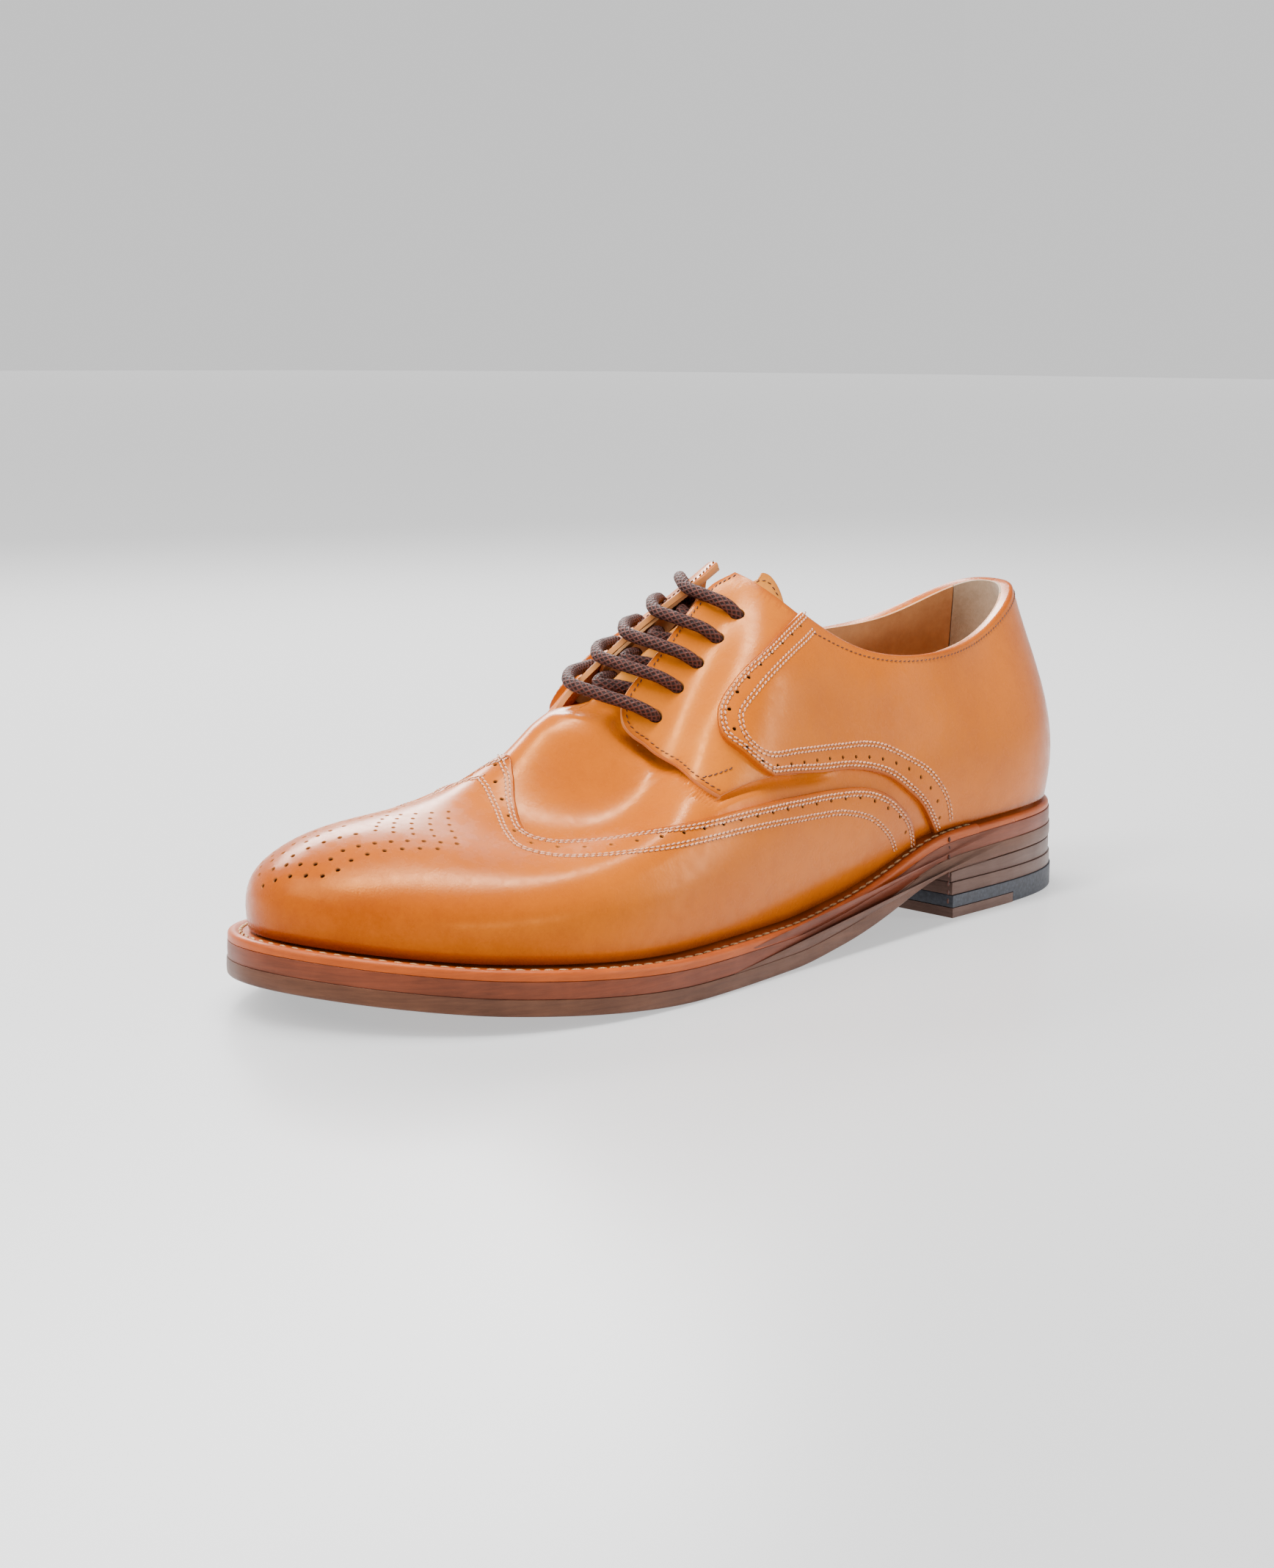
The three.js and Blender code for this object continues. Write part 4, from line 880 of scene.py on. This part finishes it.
def speckled(name, light, dark, scale, rough, bump=0.0002):
    """Fine two-tone grains, as in rubber, cork or pressed fibre."""
    n = Nodes(name)
    cells = n.add("ShaderNodeTexVoronoi", {"Vector": n.place, "Scale": float(scale)})
    tone = n.math("ADD", n.math("MULTIPLY", cells.outputs["Distance"], 0.6), n.noise(scale, 4))
    colour = n.mix(n.range(tone, 0.4, 1.0), rgb(*light), rgb(*dark))
    return n.finish(Base_Color=colour, Roughness=rough, Normal=n.bump(tone, bump, 0.6))


M = {
    "upper": tan_leather("upper_leather"),
    "facing": tan_leather("facing_leather", (202, 108, 14), (144, 56, 4)),
    "tongue": tan_leather("tongue_leather", (204, 128, 44), (160, 86, 24), 0.4),
    "lining": plain_leather("lining_leather", (204, 146, 92), (170, 110, 60)),
    "suede": plain_leather("suede_leather", (192, 166, 138), (150, 126, 98), 0.95, 700, 0.2,
                           0.0002),
    "sock": plain_leather("sock_leather", (170, 116, 66), (134, 84, 42), 0.55),
    "insole": plain_leather("insole_leather", (190, 148, 100), (150, 108, 66), 0.75),
    "welt": sole_edge("welt_leather", (190, 88, 26), (130, 52, 14), 0.34),
    "sole": sole_edge("sole_leather", (104, 66, 48), (52, 30, 24)),
    "midsole": sole_edge("midsole_leather", (132, 64, 40), (68, 32, 22)),
    "lift": sole_edge("heel_leather", (104, 80, 72), (60, 42, 38)),
    "rubber": speckled("heel_rubber", (58, 62, 72), (36, 38, 46), 900, 0.55, 0.00008),
    "cork": speckled("cork", (176, 128, 80), (96, 62, 34), 260, 0.95),
    "stiffener": speckled("stiffener", (190, 174, 140), (150, 134, 104), 600, 0.9),
    "steel": metal("shank_steel", (150, 152, 156), 0.3),
    "brass": metal("brass", (182, 146, 84), 0.35),
    "lace": woven_lace("lace_cotton"),
    "aglet": speckled("aglet_plastic", (84, 54, 44), (58, 36, 30), 400, 0.3, 0.00002),
    "light_thread": thread("light_thread", (238, 186, 150), (190, 120, 82)),
    "dark_thread": thread("dark_thread", (92, 44, 22), (54, 24, 14)),
    "welt_thread": thread("welt_thread", (206, 168, 116), (158, 112, 70)),
    # Dark brown for the needle holes: painted shade in the holes; the breast marks take it too.
    "needle_hole": thread("needle_hole", (84, 34, 14), (50, 18, 8)),
}


# ---- upper ---------------------------------------------------------------------------------------

PITCH = 1.4  # between the points of a cut edge


def stands_for(node):
    """Hide the CAD node that a piece takes the place of."""
    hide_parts(node)


def loop_of(*edges):
    """One closed (u, v) loop from edges that follow each other; each is densified."""
    parts = [sampled(edge, PITCH)[:-1] for edge in edges]
    return np.concatenate(parts)


def constant(w):
    return lambda u, v: np.full(np.shape(np.asarray(u, float) + np.asarray(v, float)), float(w))


def at_opening(points):
    """1 along the ankle opening, 0 elsewhere."""
    return smoothstep(points[:, 1], 0.985, 0.998)


def one_side(points, side):
    return np.array(points, float) if side > 0 else mirrored(points)


def across(v, start, end, step=0.02):
    """A straight (u, v) edge at one level."""
    count = max(3, int(abs(end - start) / step))
    return [(u, v) for u in np.linspace(start, end, count)]


def lace_holes(side):
    return [(u, v, LACE_HOLE_RADIUS) for u, v in (OUTER_HOLES if side > 0 else INNER_HOLES)]


def medallion_axis(v):
    """u of the toe medallion's middle line; it leans towards the big toe."""
    return 0.5165 - 0.025 * np.asarray(v, float)


def toe_medallion():
    """Punched pattern on the toe: a fan of rays inside two bordering rows, the same on both sides."""
    corners = np.array([[(0.4835, 0.591), (0.5022, 0.511)], [(0.4609, 0.459), (0.488, 0.4228)]])
    half = []
    for ray in np.linspace(0, 1, 5):
        for step in np.linspace(0, 1, 5):
            near = corners[0, 0] + (corners[0, 1] - corners[0, 0]) * step
            far = corners[1, 0] + (corners[1, 1] - corners[1, 0]) * step
            half.append((*(near + (far - near) * ray), 0.55))
    rows = [
        [(0.4584, 0.3828), (0.4668, 0.3587), (0.4747, 0.3086), (0.4791, 0.2385), (0.4801, 0.1884),
         (0.4958, 0.1603), (0.512, 0.11)],
        [(0.4564, 0.4269), (0.4687, 0.4068), (0.4781, 0.3627), (0.485, 0.2986), (0.487, 0.2285),
         (0.5027, 0.1964), (0.5111, 0.1683)],
        [(0.4914, 0.3848), (0.4978, 0.3186), (0.5052, 0.2325)],
    ]
    for row in rows:
        half += hole_row(row, TOP_SHEET, 4.5, 0.66)
    other = [(2 * float(medallion_axis(v)) - u, v, radius) for u, v, radius in half]
    middle = [(float(medallion_axis(v)), float(v), 0.6) for v in np.linspace(0.41, 0.3, 4)]
    return half + [h for h in other if all(distance_of(h, k) > 1.9 for k in half)] + middle


def distance_of(one, two):
    """How far apart two holes are, in mm."""
    return float(np.linalg.norm(surface(one[0], one[1]) - surface(two[0], two[1])))


def build_wing_cap():
    cut = loop_of(both_sides(WING_EDGE), across(0, 1 - WING_EDGE[0][0], WING_EDGE[0][0]))
    holes = []
    for side in (1, -1):
        holes += hole_row(one_side(WING_HOLES, side), TOP_SHEET, 7.1, PUNCH_RADIUS, (2, 0))
    holes.pop()
    holes += toe_medallion()
    cap = skin("wing_cap_leather", cut, constant(TOP_SHEET), SHEET, M["upper"], holes)
    stands_for("wing_cap")
    spots = []
    rows_at = ((WING_EDGE, 1.3), (WING_EDGE, 2.4), (WING_STITCH, 0), (WING_STITCH, 1.1))
    for side in (1, -1):
        for line, shift in rows_at:
            edge = one_side(line, side)
            spots += stitch_spots(edge, TOP_SHEET + STITCH_LIFT, shift=side * shift)
    rows = beads("wing_cap_stitching", spots, M["light_thread"])
    # Dark beads at the stitch ends: painted shade in the needle holes.
    needles = beads("wing_cap_needle_holes", needle_spots(spots), M["needle_hole"], fine=False)


def build_quarter(side, word):
    low = one_side([(SEAM, 0), (0.02, 0), *across(0, 0.04, 0.16), (0.165, 0)], side)
    front = one_side(QUARTER_FRONT, side)
    top = one_side(across(1, 0.317, SEAM), side)
    seam = one_side([(SEAM, v) for v in np.linspace(1, 0, 24)], side)
    cut = loop_of(low, one_side(QUARTER_LOW, side), front, top, seam)
    rows = one_side(QUARTER_HOLES, side)
    holes = hole_row(rows, TOP_SHEET, 6.3, PUNCH_RADIUS, (2, 2))
    quarter = skin(f"quarter_{word}_leather", cut, constant(TOP_SHEET), SHEET, M["upper"], holes,
                   lip=at_opening, lip_depth=3.6)
    stands_for(f"quarter_{word}")
    spots = []
    rows_at = ((QUARTER_LOW, -1.2), (QUARTER_LOW, -2.3), (QUARTER_FRONT, -1.2),
               (QUARTER_FRONT, -2.3), (QUARTER_STITCH, 0), (QUARTER_STITCH, -1.1))
    for line, shift in rows_at:
        spots += stitch_spots(one_side(line, side), TOP_SHEET + STITCH_LIFT, shift=side * shift)
    light = beads(f"quarter_{word}_stitching", spots, M["light_thread"])
    # Dark beads at the stitch ends: painted shade in the needle holes.
    needles = beads(f"quarter_{word}_needle_holes", needle_spots(spots), M["needle_hole"],
                    fine=False)
    topline = stitch_spots(one_side(across(0.978, 0.295, 0.004), side), TOP_SHEET + STITCH_LIFT,
                           pitch=1.9, length=1.4, width=0.4)
    seam_row = stitch_spots(one_side([(0.004, 0.03), (0.004, 0.5), (0.004, 0.97)], side),
                            TOP_SHEET + STITCH_LIFT, pitch=1.9, length=1.4, width=0.4)
    dark = beads(f"topline_{word}_stitching", topline + seam_row, M["dark_thread"])


def build_facing(side, word):
    top = across(1, 0.462, 0.3)
    cut = loop_of(*[one_side(edge, side) for edge in (TAB_LOW, TAB_FRONT, top, TAB_BACK[::-1])])
    holes = lace_holes(side)
    facing = skin(f"facing_{word}_leather", cut, constant(SECOND_SHEET), SHEET, M["facing"], holes,
                  bead=0.3, raw_edge=0.8)
    stands_for(f"facing_{word}")
    spots = stitch_spots(one_side(TAB_FRONT, side), SECOND_SHEET + STITCH_LIFT, pitch=1.8, length=1.35,
                         width=0.4, shift=-side * 1.5)
    fork = [(0.355, 0.691), (0.338, 0.667), (0.322, 0.655)]
    spots += stitch_spots(one_side(fork, side), SECOND_SHEET + STITCH_LIFT, pitch=1.8, width=0.45)
    rows = beads(f"facing_{word}_stitching", spots, M["dark_thread"])


def build_vamp():
    cut = loop_of(both_sides(VAMP_BACK), both_sides(VAMP_FRONT)[::-1],
                  [(0.15, 0), (0.15, 0.03), (0.15, 0.06)])
    vamp = skin("vamp_leather", cut, vamp_depth, SHEET, M["upper"], grain=2.2)
    stands_for("vamp")


def build_lining(side, word):
    back = LINING_LOW[0][0]
    back_edge = [(back, v) for v in np.linspace(1, 0.02, 20)]
    edges = (LINING_LOW, LINING_FRONT, across(1, 0.462, back), back_edge)
    cut = loop_of(*[one_side(edge, side) for edge in edges])
    holes = lace_holes(side)
    lining = skin(f"quarter_lining_{word}_leather", cut, constant(THIRD_SHEET), SHEET, M["lining"],
                  holes, bead=0.3, wall=1)
    stands_for(f"quarter_lining_{word}")


def build_heel_grip():
    up = np.linspace(0.02, 1, 20)
    cut = loop_of(across(0.02, -HEEL_GRIP, HEEL_GRIP, 0.006), [(HEEL_GRIP, v) for v in up],
                  across(1, HEEL_GRIP, -HEEL_GRIP, 0.006), [(-HEEL_GRIP, v) for v in up[::-1]])
    grip = skin("heel_grip_suede", cut, constant(THIRD_SHEET), SHEET, M["suede"], bead=0.3, wall=1)
    stands_for("heel_grip_lining")


def build_tongue():
    cut = loop_of(TONGUE_SIDE, TONGUE_TOP, TONGUE_INNER_SIDE[::-1],
                  across(TONGUE_ROOT, 0.56, 0.44, 0.01))
    layers = [
        ("tongue_leather", "tongue", TONGUE_SHEET, 1.75, "tongue", "upper_leather"),
        ("tongue_lining_leather", "tongue_lining", TONGUE_SHEET - 1.85, 1.2, "lining",
         "lining_leather"),
    ]
    for name, node, depth, wall, material, slot in layers:
        piece = skin(name, cut, constant(depth), 1.2, M[material], body="tongue", wall=wall,
                     bead=0.35, raw_edge=0.7)
        stands_for(node)
    edge = [(u, v - 0.006) for u, v in TONGUE_TOP[1:-1]]
    row = stitch_spots(edge, TONGUE_SHEET + STITCH_LIFT, pitch=2.0, length=1.4, width=0.4)
    rows = beads("tongue_stitching", row, M["dark_thread"], body="tongue")


def build_upper():
    build_wing_cap()
    build_vamp()
    for side, word in ((1, "left"), (-1, "right")):
        build_quarter(side, word)
        build_facing(side, word)
        build_lining(side, word)
    build_heel_grip()
    build_tongue()


# ---- sole and heel -------------------------------------------------------------------------------


def border_loop(margin, behind=None, step=1.5):
    """The sole's outline, brought in by a margin; behind stops it at that s, cut straight across."""
    u = np.arange(0, 1, 1 / 480)
    loop = inset(u, np.full(len(u), float(margin)))
    if behind is not None:
        keep = loop[:, 0] < behind
        first = int(np.argmax(~keep))
        loop = np.roll(loop, -first, axis=0)
        loop = loop[np.roll(keep, -first)]
        start, end = loop[-1, 1], loop[0, 1]
        count = int(abs(end - start) / step)
        line = np.stack([np.full(count, behind), np.linspace(start, end, count)], axis=-1)
        loop = np.concatenate([loop, line])
    return loop


def slab(name, loop, bottom, top, material, radius=0.15, low_radius=0.15, waist=0.0):
    """A flat layer with rounded edges between two height functions of s."""
    area = np.sum(loop[:, 0] * np.roll(loop[:, 1], -1) - loop[:, 1] * np.roll(loop[:, 0], -1))
    if area < 0:
        loop = loop[::-1]
    tangent = np.roll(loop, -1, axis=0) - np.roll(loop, 1, axis=0)
    inward = np.stack([-tangent[:, 1], tangent[:, 0]], axis=-1)
    inward /= np.linalg.norm(inward, axis=1, keepdims=True)
    profile = []
    for angle in (0, 30, 60, 90):
        a = math.radians(angle)
        profile.append((radius * (1 - math.sin(a)), 1, -radius * (1 - math.cos(a))))
    profile.append((waist, 0.5, 0))
    for angle in (90, 60, 30, 0):
        a = math.radians(angle)
        profile.append((low_radius * (1 - math.sin(a)), 0, low_radius * (1 - math.cos(a))))
    points, faces, count = [], [], len(loop)
    for k, (reach, share, lift) in enumerate(profile):
        ring = loop + inward * reach
        low, high = bottom(ring[:, 0]), top(ring[:, 0])
        z = low + (high - low) * share + lift
        points.append(np.column_stack([ring, z]))
        if k:
            for i in range(count):
                j = (i + 1) % count
                faces.append(((k - 1) * count + i, k * count + i, k * count + j,
                              (k - 1) * count + j))
    total = len(profile) * count
    for share, start in ((1, 0), (0, (len(profile) - 1) * count)):
        rim = points[0][:, :2] if share else points[-1][:, :2]
        grid = np.stack(np.meshgrid(np.arange(loop[:, 0].min(), loop[:, 0].max(), 7),
                                    np.arange(loop[:, 1].min(), loop[:, 1].max(), 9)),
                        axis=-1).reshape(-1, 2)
        grid = grid[inside_loop(rim, grid)]
        near = tree_of([(*p, 0) for p in rim])
        grid = grid[distances(near, [(*p, 0) for p in grid]) > 2.5]
        flat = [Vector(p) for p in np.concatenate([rim, grid])]
        ring = [(i, (i + 1) % count) for i in range(count)]
        result = geometry.delaunay_2d_cdt(flat, ring, [], 1, 1e-7, True)
        found = np.array([list(p) for p in result[0]])
        ids = np.zeros(len(found), int)
        extra = []
        for i, source in enumerate(result[3]):
            if source and source[0] < count:
                ids[i] = start + source[0]
            else:
                ids[i] = total + len(extra)
                extra.append(found[i])
        if extra:
            extra = np.array(extra)
            height = top(extra[:, 0]) if share else bottom(extra[:, 0])
            points.append(np.column_stack([extra, height]))
            total += len(extra)
        for f in result[2]:
            turned = f if share else f[::-1]
            faces.append(tuple(int(ids[i]) for i in turned))
    return make_object(name, np.concatenate(points), faces, material, sharp=40)


def strip(name, margin_out, margin_in, u0, u1, profile, material):
    """A welt: a section swept along the outline; profile holes (share inward, mm inward, height)."""
    count = max(12, int((u1 - u0) * 620))
    u = np.linspace(u0, u1, count)
    outer = inset(u, np.full(count, float(margin_out)))
    inner = inset(u, closed_spline(MARGIN, u) + margin_in)
    reach = inner - outer
    width = np.linalg.norm(reach, axis=1, keepdims=True)
    points, faces, n = [], [], len(profile)
    for share, extra, height in profile:
        flat = outer + reach * share + reach / width * extra
        points.append(np.column_stack([flat, underside(flat[:, 0]) + height]))
    for k in range(n):
        m = (k + 1) % n
        for i in range(count - 1):
            faces.append((k * count + i, k * count + i + 1, m * count + i + 1, m * count + i))
    faces.append(tuple(k * count for k in range(n)))
    faces.append(tuple(k * count + count - 1 for k in range(n))[::-1])
    return make_object(name, np.concatenate(points), faces, material)


def level_at(height):
    return lambda s: underside(s) + height


def flat_at(z):
    return lambda s: np.full(np.shape(s), float(z))


def u_where(s, side):
    """Where the outline passes s, on the outer (1) or inner (-1) side."""
    u = np.linspace(0, 0.5, 2001) if side > 0 else np.linspace(1, 0.5, 2001)
    line = outline(u)[:, 0]
    return float(u[int(np.argmax(line > s))])


def build_sole():
    parts = [
        ("outsole_leather", "outsole", 0, 0, OUTSOLE - 0.06, "sole", 0.8),
        ("midsole_leather", "midsole", 0.25, OUTSOLE, WELT_BOTTOM - 0.06, "midsole", 0.12),
    ]
    for name, node, margin, low, high, material, low_radius in parts:
        piece = slab(name, border_loop(margin), level_at(low), level_at(high), M[material],
                     0.15, low_radius, -0.08)
        stands_for(node)
    start, end = u_where(WELT_END, 1), u_where(WELT_END, -1)
    top, bottom = WELT_TOP, WELT_BOTTOM
    section = [(1, 0, bottom), (1, 0, top - 0.3), (0, 4.2, top - 0.3), (0, 3.4, top - 0.65),
               (0, 2.6, top - 0.35), (0, 2.1, top), (0, 1.5, top + 0.12), (0, 0.9, top),
               (0, 0.4, top - 0.35), (0, 0.1, top - 0.8), (0, 0, top - 1.3),
               (0, 0, bottom + 0.15), (0, 0.15, bottom)]
    welt = strip("welt_leather", 0.3, 6, start, end, section, M["welt"])
    stands_for("welt")
    bead = [(1, 0, bottom), (1, 0, top - 0.6), (0, 1.5, top - 0.5), (0, 0.9, top - 0.55),
            (0, 0.3, top - 0.9), (0, 0, top - 1.4), (0, 0, bottom + 0.15), (0, 0.15, bottom)]
    rand = strip("heel_rand_leather", 0.55, 6, end - 1, start, bead, M["welt"])
    stands_for("heel_rand")
    build_welt_stitches(start, end)


def build_welt_stitches(start, end):
    u = np.linspace(start, end, 1600)
    line = inset(u, np.full(len(u), 3.7))
    points = np.column_stack([line, underside(line[:, 0]) + WELT_TOP - 0.4])
    run = np.concatenate([[0], np.cumsum(np.linalg.norm(np.diff(points, axis=0), axis=1))])
    along = np.gradient(points, axis=0)
    along /= np.linalg.norm(along, axis=1, keepdims=True)
    spots = []
    for i in np.searchsorted(run, np.arange(2, run[-1] - 2, 4.0)):
        out = np.cross((0, 0, 1.0), along[i])
        leaning = along[i] - out * 0.3
        spots.append((points[i], leaning / np.linalg.norm(leaning), np.array([0, 0, 1.0]), 3.1,
                      1.1, 1.0))
    stitches = beads("welt_stitching", spots, M["welt_thread"])


def build_heel():
    layers = [
        ("heel_lift_upper_leather", "heel_lift_upper", 0.2, flat_at(11), level_at(-0.1), "lift"),
        ("heel_lift_lower_leather", "heel_lift_lower", -0.2, flat_at(7), flat_at(10.9), "lift"),
    ]
    for name, node, margin, low, high, material in layers:
        piece = slab(name, border_loop(margin, BREAST), low, high, M[material], 0.15, 0.15, -0.06)
        stands_for(node)
    lip = slab("rubber_lift_upper", border_loop(-0.6, BREAST), flat_at(3.2), flat_at(6.9),
               M["rubber"], 0.12, 0.12)
    back = slab("rubber_lift_lip", border_loop(-0.6, 43.7), flat_at(0), flat_at(3.3),
                M["rubber"], 0.05, 0.4)
    stands_for("rubber_heel_lift")


def build_breast_stitches():
    """Short upright stitches down the breast's two edges, from the welt to the ground."""
    spots = []
    for side in (1, -1):
        u = u_where(BREAST + 1.6, side)
        edge = inset(np.array([u]), np.array([0.1]))[0]
        out = np.array([*outward(np.array([u]))[0], 0])
        for z in np.arange(5.5, 27, 2.7):
            spots.append((np.array([*edge, z]), np.array([0, 0, 1.0]), out, 1.7, 0.9, 0.7))
    marks = beads("breast_stitching", spots, M["needle_hole"])


# ---- lace ----------------------------------------------------------------------------------------

BAR_HEIGHT = 1
UNDER = -6.3
START_END = [
    (108, 23, 27.5), (126, 26, 23.5), (144, 29.5, 21), (156, 32, 21.5), (164, 33, 27),
    (167, 32, 37), (168, 27, 50), (169, 19, 61), (171, 13, 68), (174, 10, 72),
]
FINISH_END = [
    (140, -17.5, 93.5), (137, -19, 88), (135, -21, 82), (132, -22.5, 73), (130, -23, 62),
    (128, -23, 50), (128, -23, 38), (132, -22, 28), (142, -23, 22.5), (156, -27, 21),
    (170, -29, 20.8),
]


def lace_controls():
    """Points the lace passes: up through each pair of holes, straight bars outside."""
    points = []

    def at(u, v, w):
        points.append(offset(u, v, w))

    for i, ((u, v), (far_u, far_v)) in enumerate(zip(OUTER_HOLES, INNER_HOLES)):
        if i > 0:
            at(u + 0.012, v - 0.001, UNDER)
        at(u + 0.001, v, UNDER + 1.5)
        at(u, v, -2.2)
        for share, w in ((0.1, 0), (0.3, 0), (0.5, -0.8), (0.7, 0), (0.9, 0)):
            at(u + (far_u - u) * share, v + (far_v - v) * share, BAR_HEIGHT + w)
        at(far_u - 0.002, far_v, 0.1)
        at(far_u, far_v, -2.2)
        at(far_u - 0.001, far_v, UNDER + 1.5)
        if i + 1 == len(OUTER_HOLES):
            break
        next_u, next_v = OUTER_HOLES[i + 1]
        at(far_u - 0.008, far_v + 0.004, UNDER)
        for share in (0.3, 0.5, 0.7):
            at(far_u + (next_u - far_u) * share, far_v + 0.006 + (next_v - far_v - 0.006) * share,
               UNDER)
    return np.concatenate([START_END, points, FINISH_END])


def rounded_path(points, pitch):
    """Centripetal Catmull-Rom curve through points, at an even pitch."""
    p = np.concatenate([[2 * points[0] - points[1]], points, [2 * points[-1] - points[-2]]])
    gaps = np.sqrt(np.linalg.norm(np.diff(p, axis=0), axis=1))
    x = np.linspace(0, 1, 12, endpoint=False)[:, None]
    spans = []
    for i in range(len(points) - 1):
        g0, g1, g2 = gaps[i : i + 3]
        p0, p1, p2, p3 = p[i : i + 4]
        m1 = ((p1 - p0) / g0 - (p2 - p0) / (g0 + g1) + (p2 - p1) / g1) * g1
        m2 = ((p2 - p1) / g1 - (p3 - p1) / (g1 + g2) + (p3 - p2) / g2) * g1
        cubic = (2 * p1 - 2 * p2 + m1 + m2) * x**3
        spans.append(cubic + (-3 * p1 + 3 * p2 - 2 * m1 - m2) * x**2 + m1 * x + p1)
    dense = np.concatenate([*spans, [points[-1]]])
    run = np.concatenate([[0], np.cumsum(np.linalg.norm(np.diff(dense, axis=0), axis=1))])
    at = np.linspace(0, run[-1], int(run[-1] / pitch) + 1)
    return np.stack([np.interp(at, run, dense[:, k]) for k in range(3)], axis=-1), run[-1]


def build_lace():
    path, length = rounded_path(lace_controls(), 0.9)
    sides = 12
    tangent = np.gradient(path, axis=0)
    tangent /= np.linalg.norm(tangent, axis=1, keepdims=True)
    side = np.cross(tangent[0], (0, 0, 1.0))
    rings = []
    turn_by = np.arange(sides) * 2 * math.pi / sides
    for centre, ahead in zip(path, tangent):
        side = side - side.dot(ahead) * ahead
        side /= np.linalg.norm(side)
        third = np.cross(ahead, side)
        rings.append(centre + LACE_RADIUS * (np.cos(turn_by)[:, None] * side
                                             + np.sin(turn_by)[:, None] * third))
    points = np.concatenate(rings)
    faces, uvs = [], []
    step = length / (len(path) - 1)
    for i in range(len(path) - 1):
        for k in range(sides):
            n = (k + 1) % sides
            faces.append((i * sides + k, i * sides + n, (i + 1) * sides + n, (i + 1) * sides + k))
            uvs += [(k / sides, i * step), ((k + 1) / sides, i * step),
                    ((k + 1) / sides, (i + 1) * step), (k / sides, (i + 1) * step)]
    last = (len(path) - 1) * sides
    faces.append(tuple(range(sides))[::-1])
    faces.append(tuple(last + k for k in range(sides)))
    uvs += [(0, 0)] * (2 * sides)
    lace = make_object("lace_braid", points, faces, M["lace"], sharp=0)
    layer = lace.data.uv_layers.new(name="braid")
    layer.data.foreach_set("uv", np.array(uvs, np.float32).ravel())
    stands_for("shoelace")


# ---- carried-over CAD nodes, stage and light -------------------------------------------------------

NODE_MATERIALS = {
    "cork_filler": "cork", "shank": "steel", "heel_seat_filler": "insole", "insole": "insole",
    "sock_liner": "sock", "vamp_lining": "lining",
    "toe_puff": "stiffener", "heel_counter": "stiffener",
    "eyelet_": "brass", "heel_pin_": "brass", "aglet_": "aglet", "heel_top_piece": "lift",
}


def paint_cad_nodes():
    """Give each CAD node that is carried over its own material."""
    for obj in list(bpy.context.scene.objects):
        if obj.type != "MESH" or obj.hide_render:
            continue
        for start, material in NODE_MATERIALS.items():
            if obj.name.startswith(start) and "leather" not in obj.name:
                obj.data.materials.clear()
                obj.data.materials.append(M[material])


def add_light(name, position, aim, length, width, radiance, along=(0, 1, 0)):
    """A soft box of that length and width in metres; its long side follows along."""
    data = bpy.data.lights.new(name, "AREA")
    data.shape = "RECTANGLE"
    data.size, data.size_y = length, width
    data.energy = radiance * math.pi * length * width
    back = (Vector(position) - Vector(aim)).normalized()
    side = Vector(along)
    side = (side - back * side.dot(back)).normalized()
    axes = Matrix((side, back.cross(side), back)).transposed()
    light = bpy.data.objects.new(name, data)
    light.matrix_world = Matrix.Translation(position) @ axes.to_4x4()
    bpy.context.scene.collection.objects.link(light)


def add_stage_piece(name, points, faces, base, glow):
    """A pale studio surface that also glows a little, so that its shade stays even."""
    mesh = bpy.data.meshes.new(name)
    mesh.from_pydata(points, [], faces)
    n = Nodes(name + "_paint")
    n.shader.inputs["Base Color"].default_value = (base, base, base, 1)
    n.shader.inputs["Roughness"].default_value = 0.3
    n.shader.inputs["Specular IOR Level"].default_value = 0.15
    n.shader.inputs["Emission Color"].default_value = (1, 1, 1, 1)
    n.shader.inputs["Emission Strength"].default_value = glow
    mesh.materials.append(n.material)
    piece = bpy.data.objects.new(name, mesh)
    bpy.context.scene.collection.objects.link(piece)


def build_stage():
    add_stage_piece("floor", [(-4, -4, 0), (4, -4, 0), (4, 4, 0), (-4, 4, 0)], [(0, 1, 2, 3)],
                    0.4, 0.62)
    sides, radius, height = 48, 3.9, 1.3
    turns = [2 * math.pi * i / sides for i in range(sides)]
    ring = [(radius * math.cos(a), radius * math.sin(a), z) for z in (0, height) for a in turns]
    walls = [(i, (i + 1) % sides, sides + (i + 1) % sides, sides + i) for i in range(sides)]
    add_stage_piece("backdrop", ring, walls, 0.1, 0.82)
    world = bpy.data.worlds.new("studio")
    world.use_nodes = True
    world.node_tree.nodes["Background"].inputs["Color"].default_value = (1, 1, 1, 1)
    world.node_tree.nodes["Background"].inputs["Strength"].default_value = 0.35
    bpy.context.scene.world = world
    # -X is the inner side, -Y the toe; the main view looks from +X, -Y.
    add_light("top_strip", (-0.05, -0.15, 1.05), (0.0, -0.05, 0.05), 1.3, 0.13, 52)
    add_light("front_box", (-0.3, -1.2, 1.0), (0, 0, 0.05), 0.8, 0.8, 8, along=(1, 0, 0))
    add_light("inner_rim", (-0.8, 0.3, 0.6), (0, 0, 0.05), 1.0, 0.3, 22)
    add_light("heel_rim", (0.8, 0.8, 0.4), (0, 0.13, 0.05), 0.7, 0.1, 22, along=(0, 0, 1))
    add_light("waist_box", (1.0, -0.3, 0.16), (0, 0, 0.05), 0.9, 0.1, 12)


build_lace()
build_upper()
build_sole()
build_heel()
build_breast_stitches()
paint_cad_nodes()
build_stage()
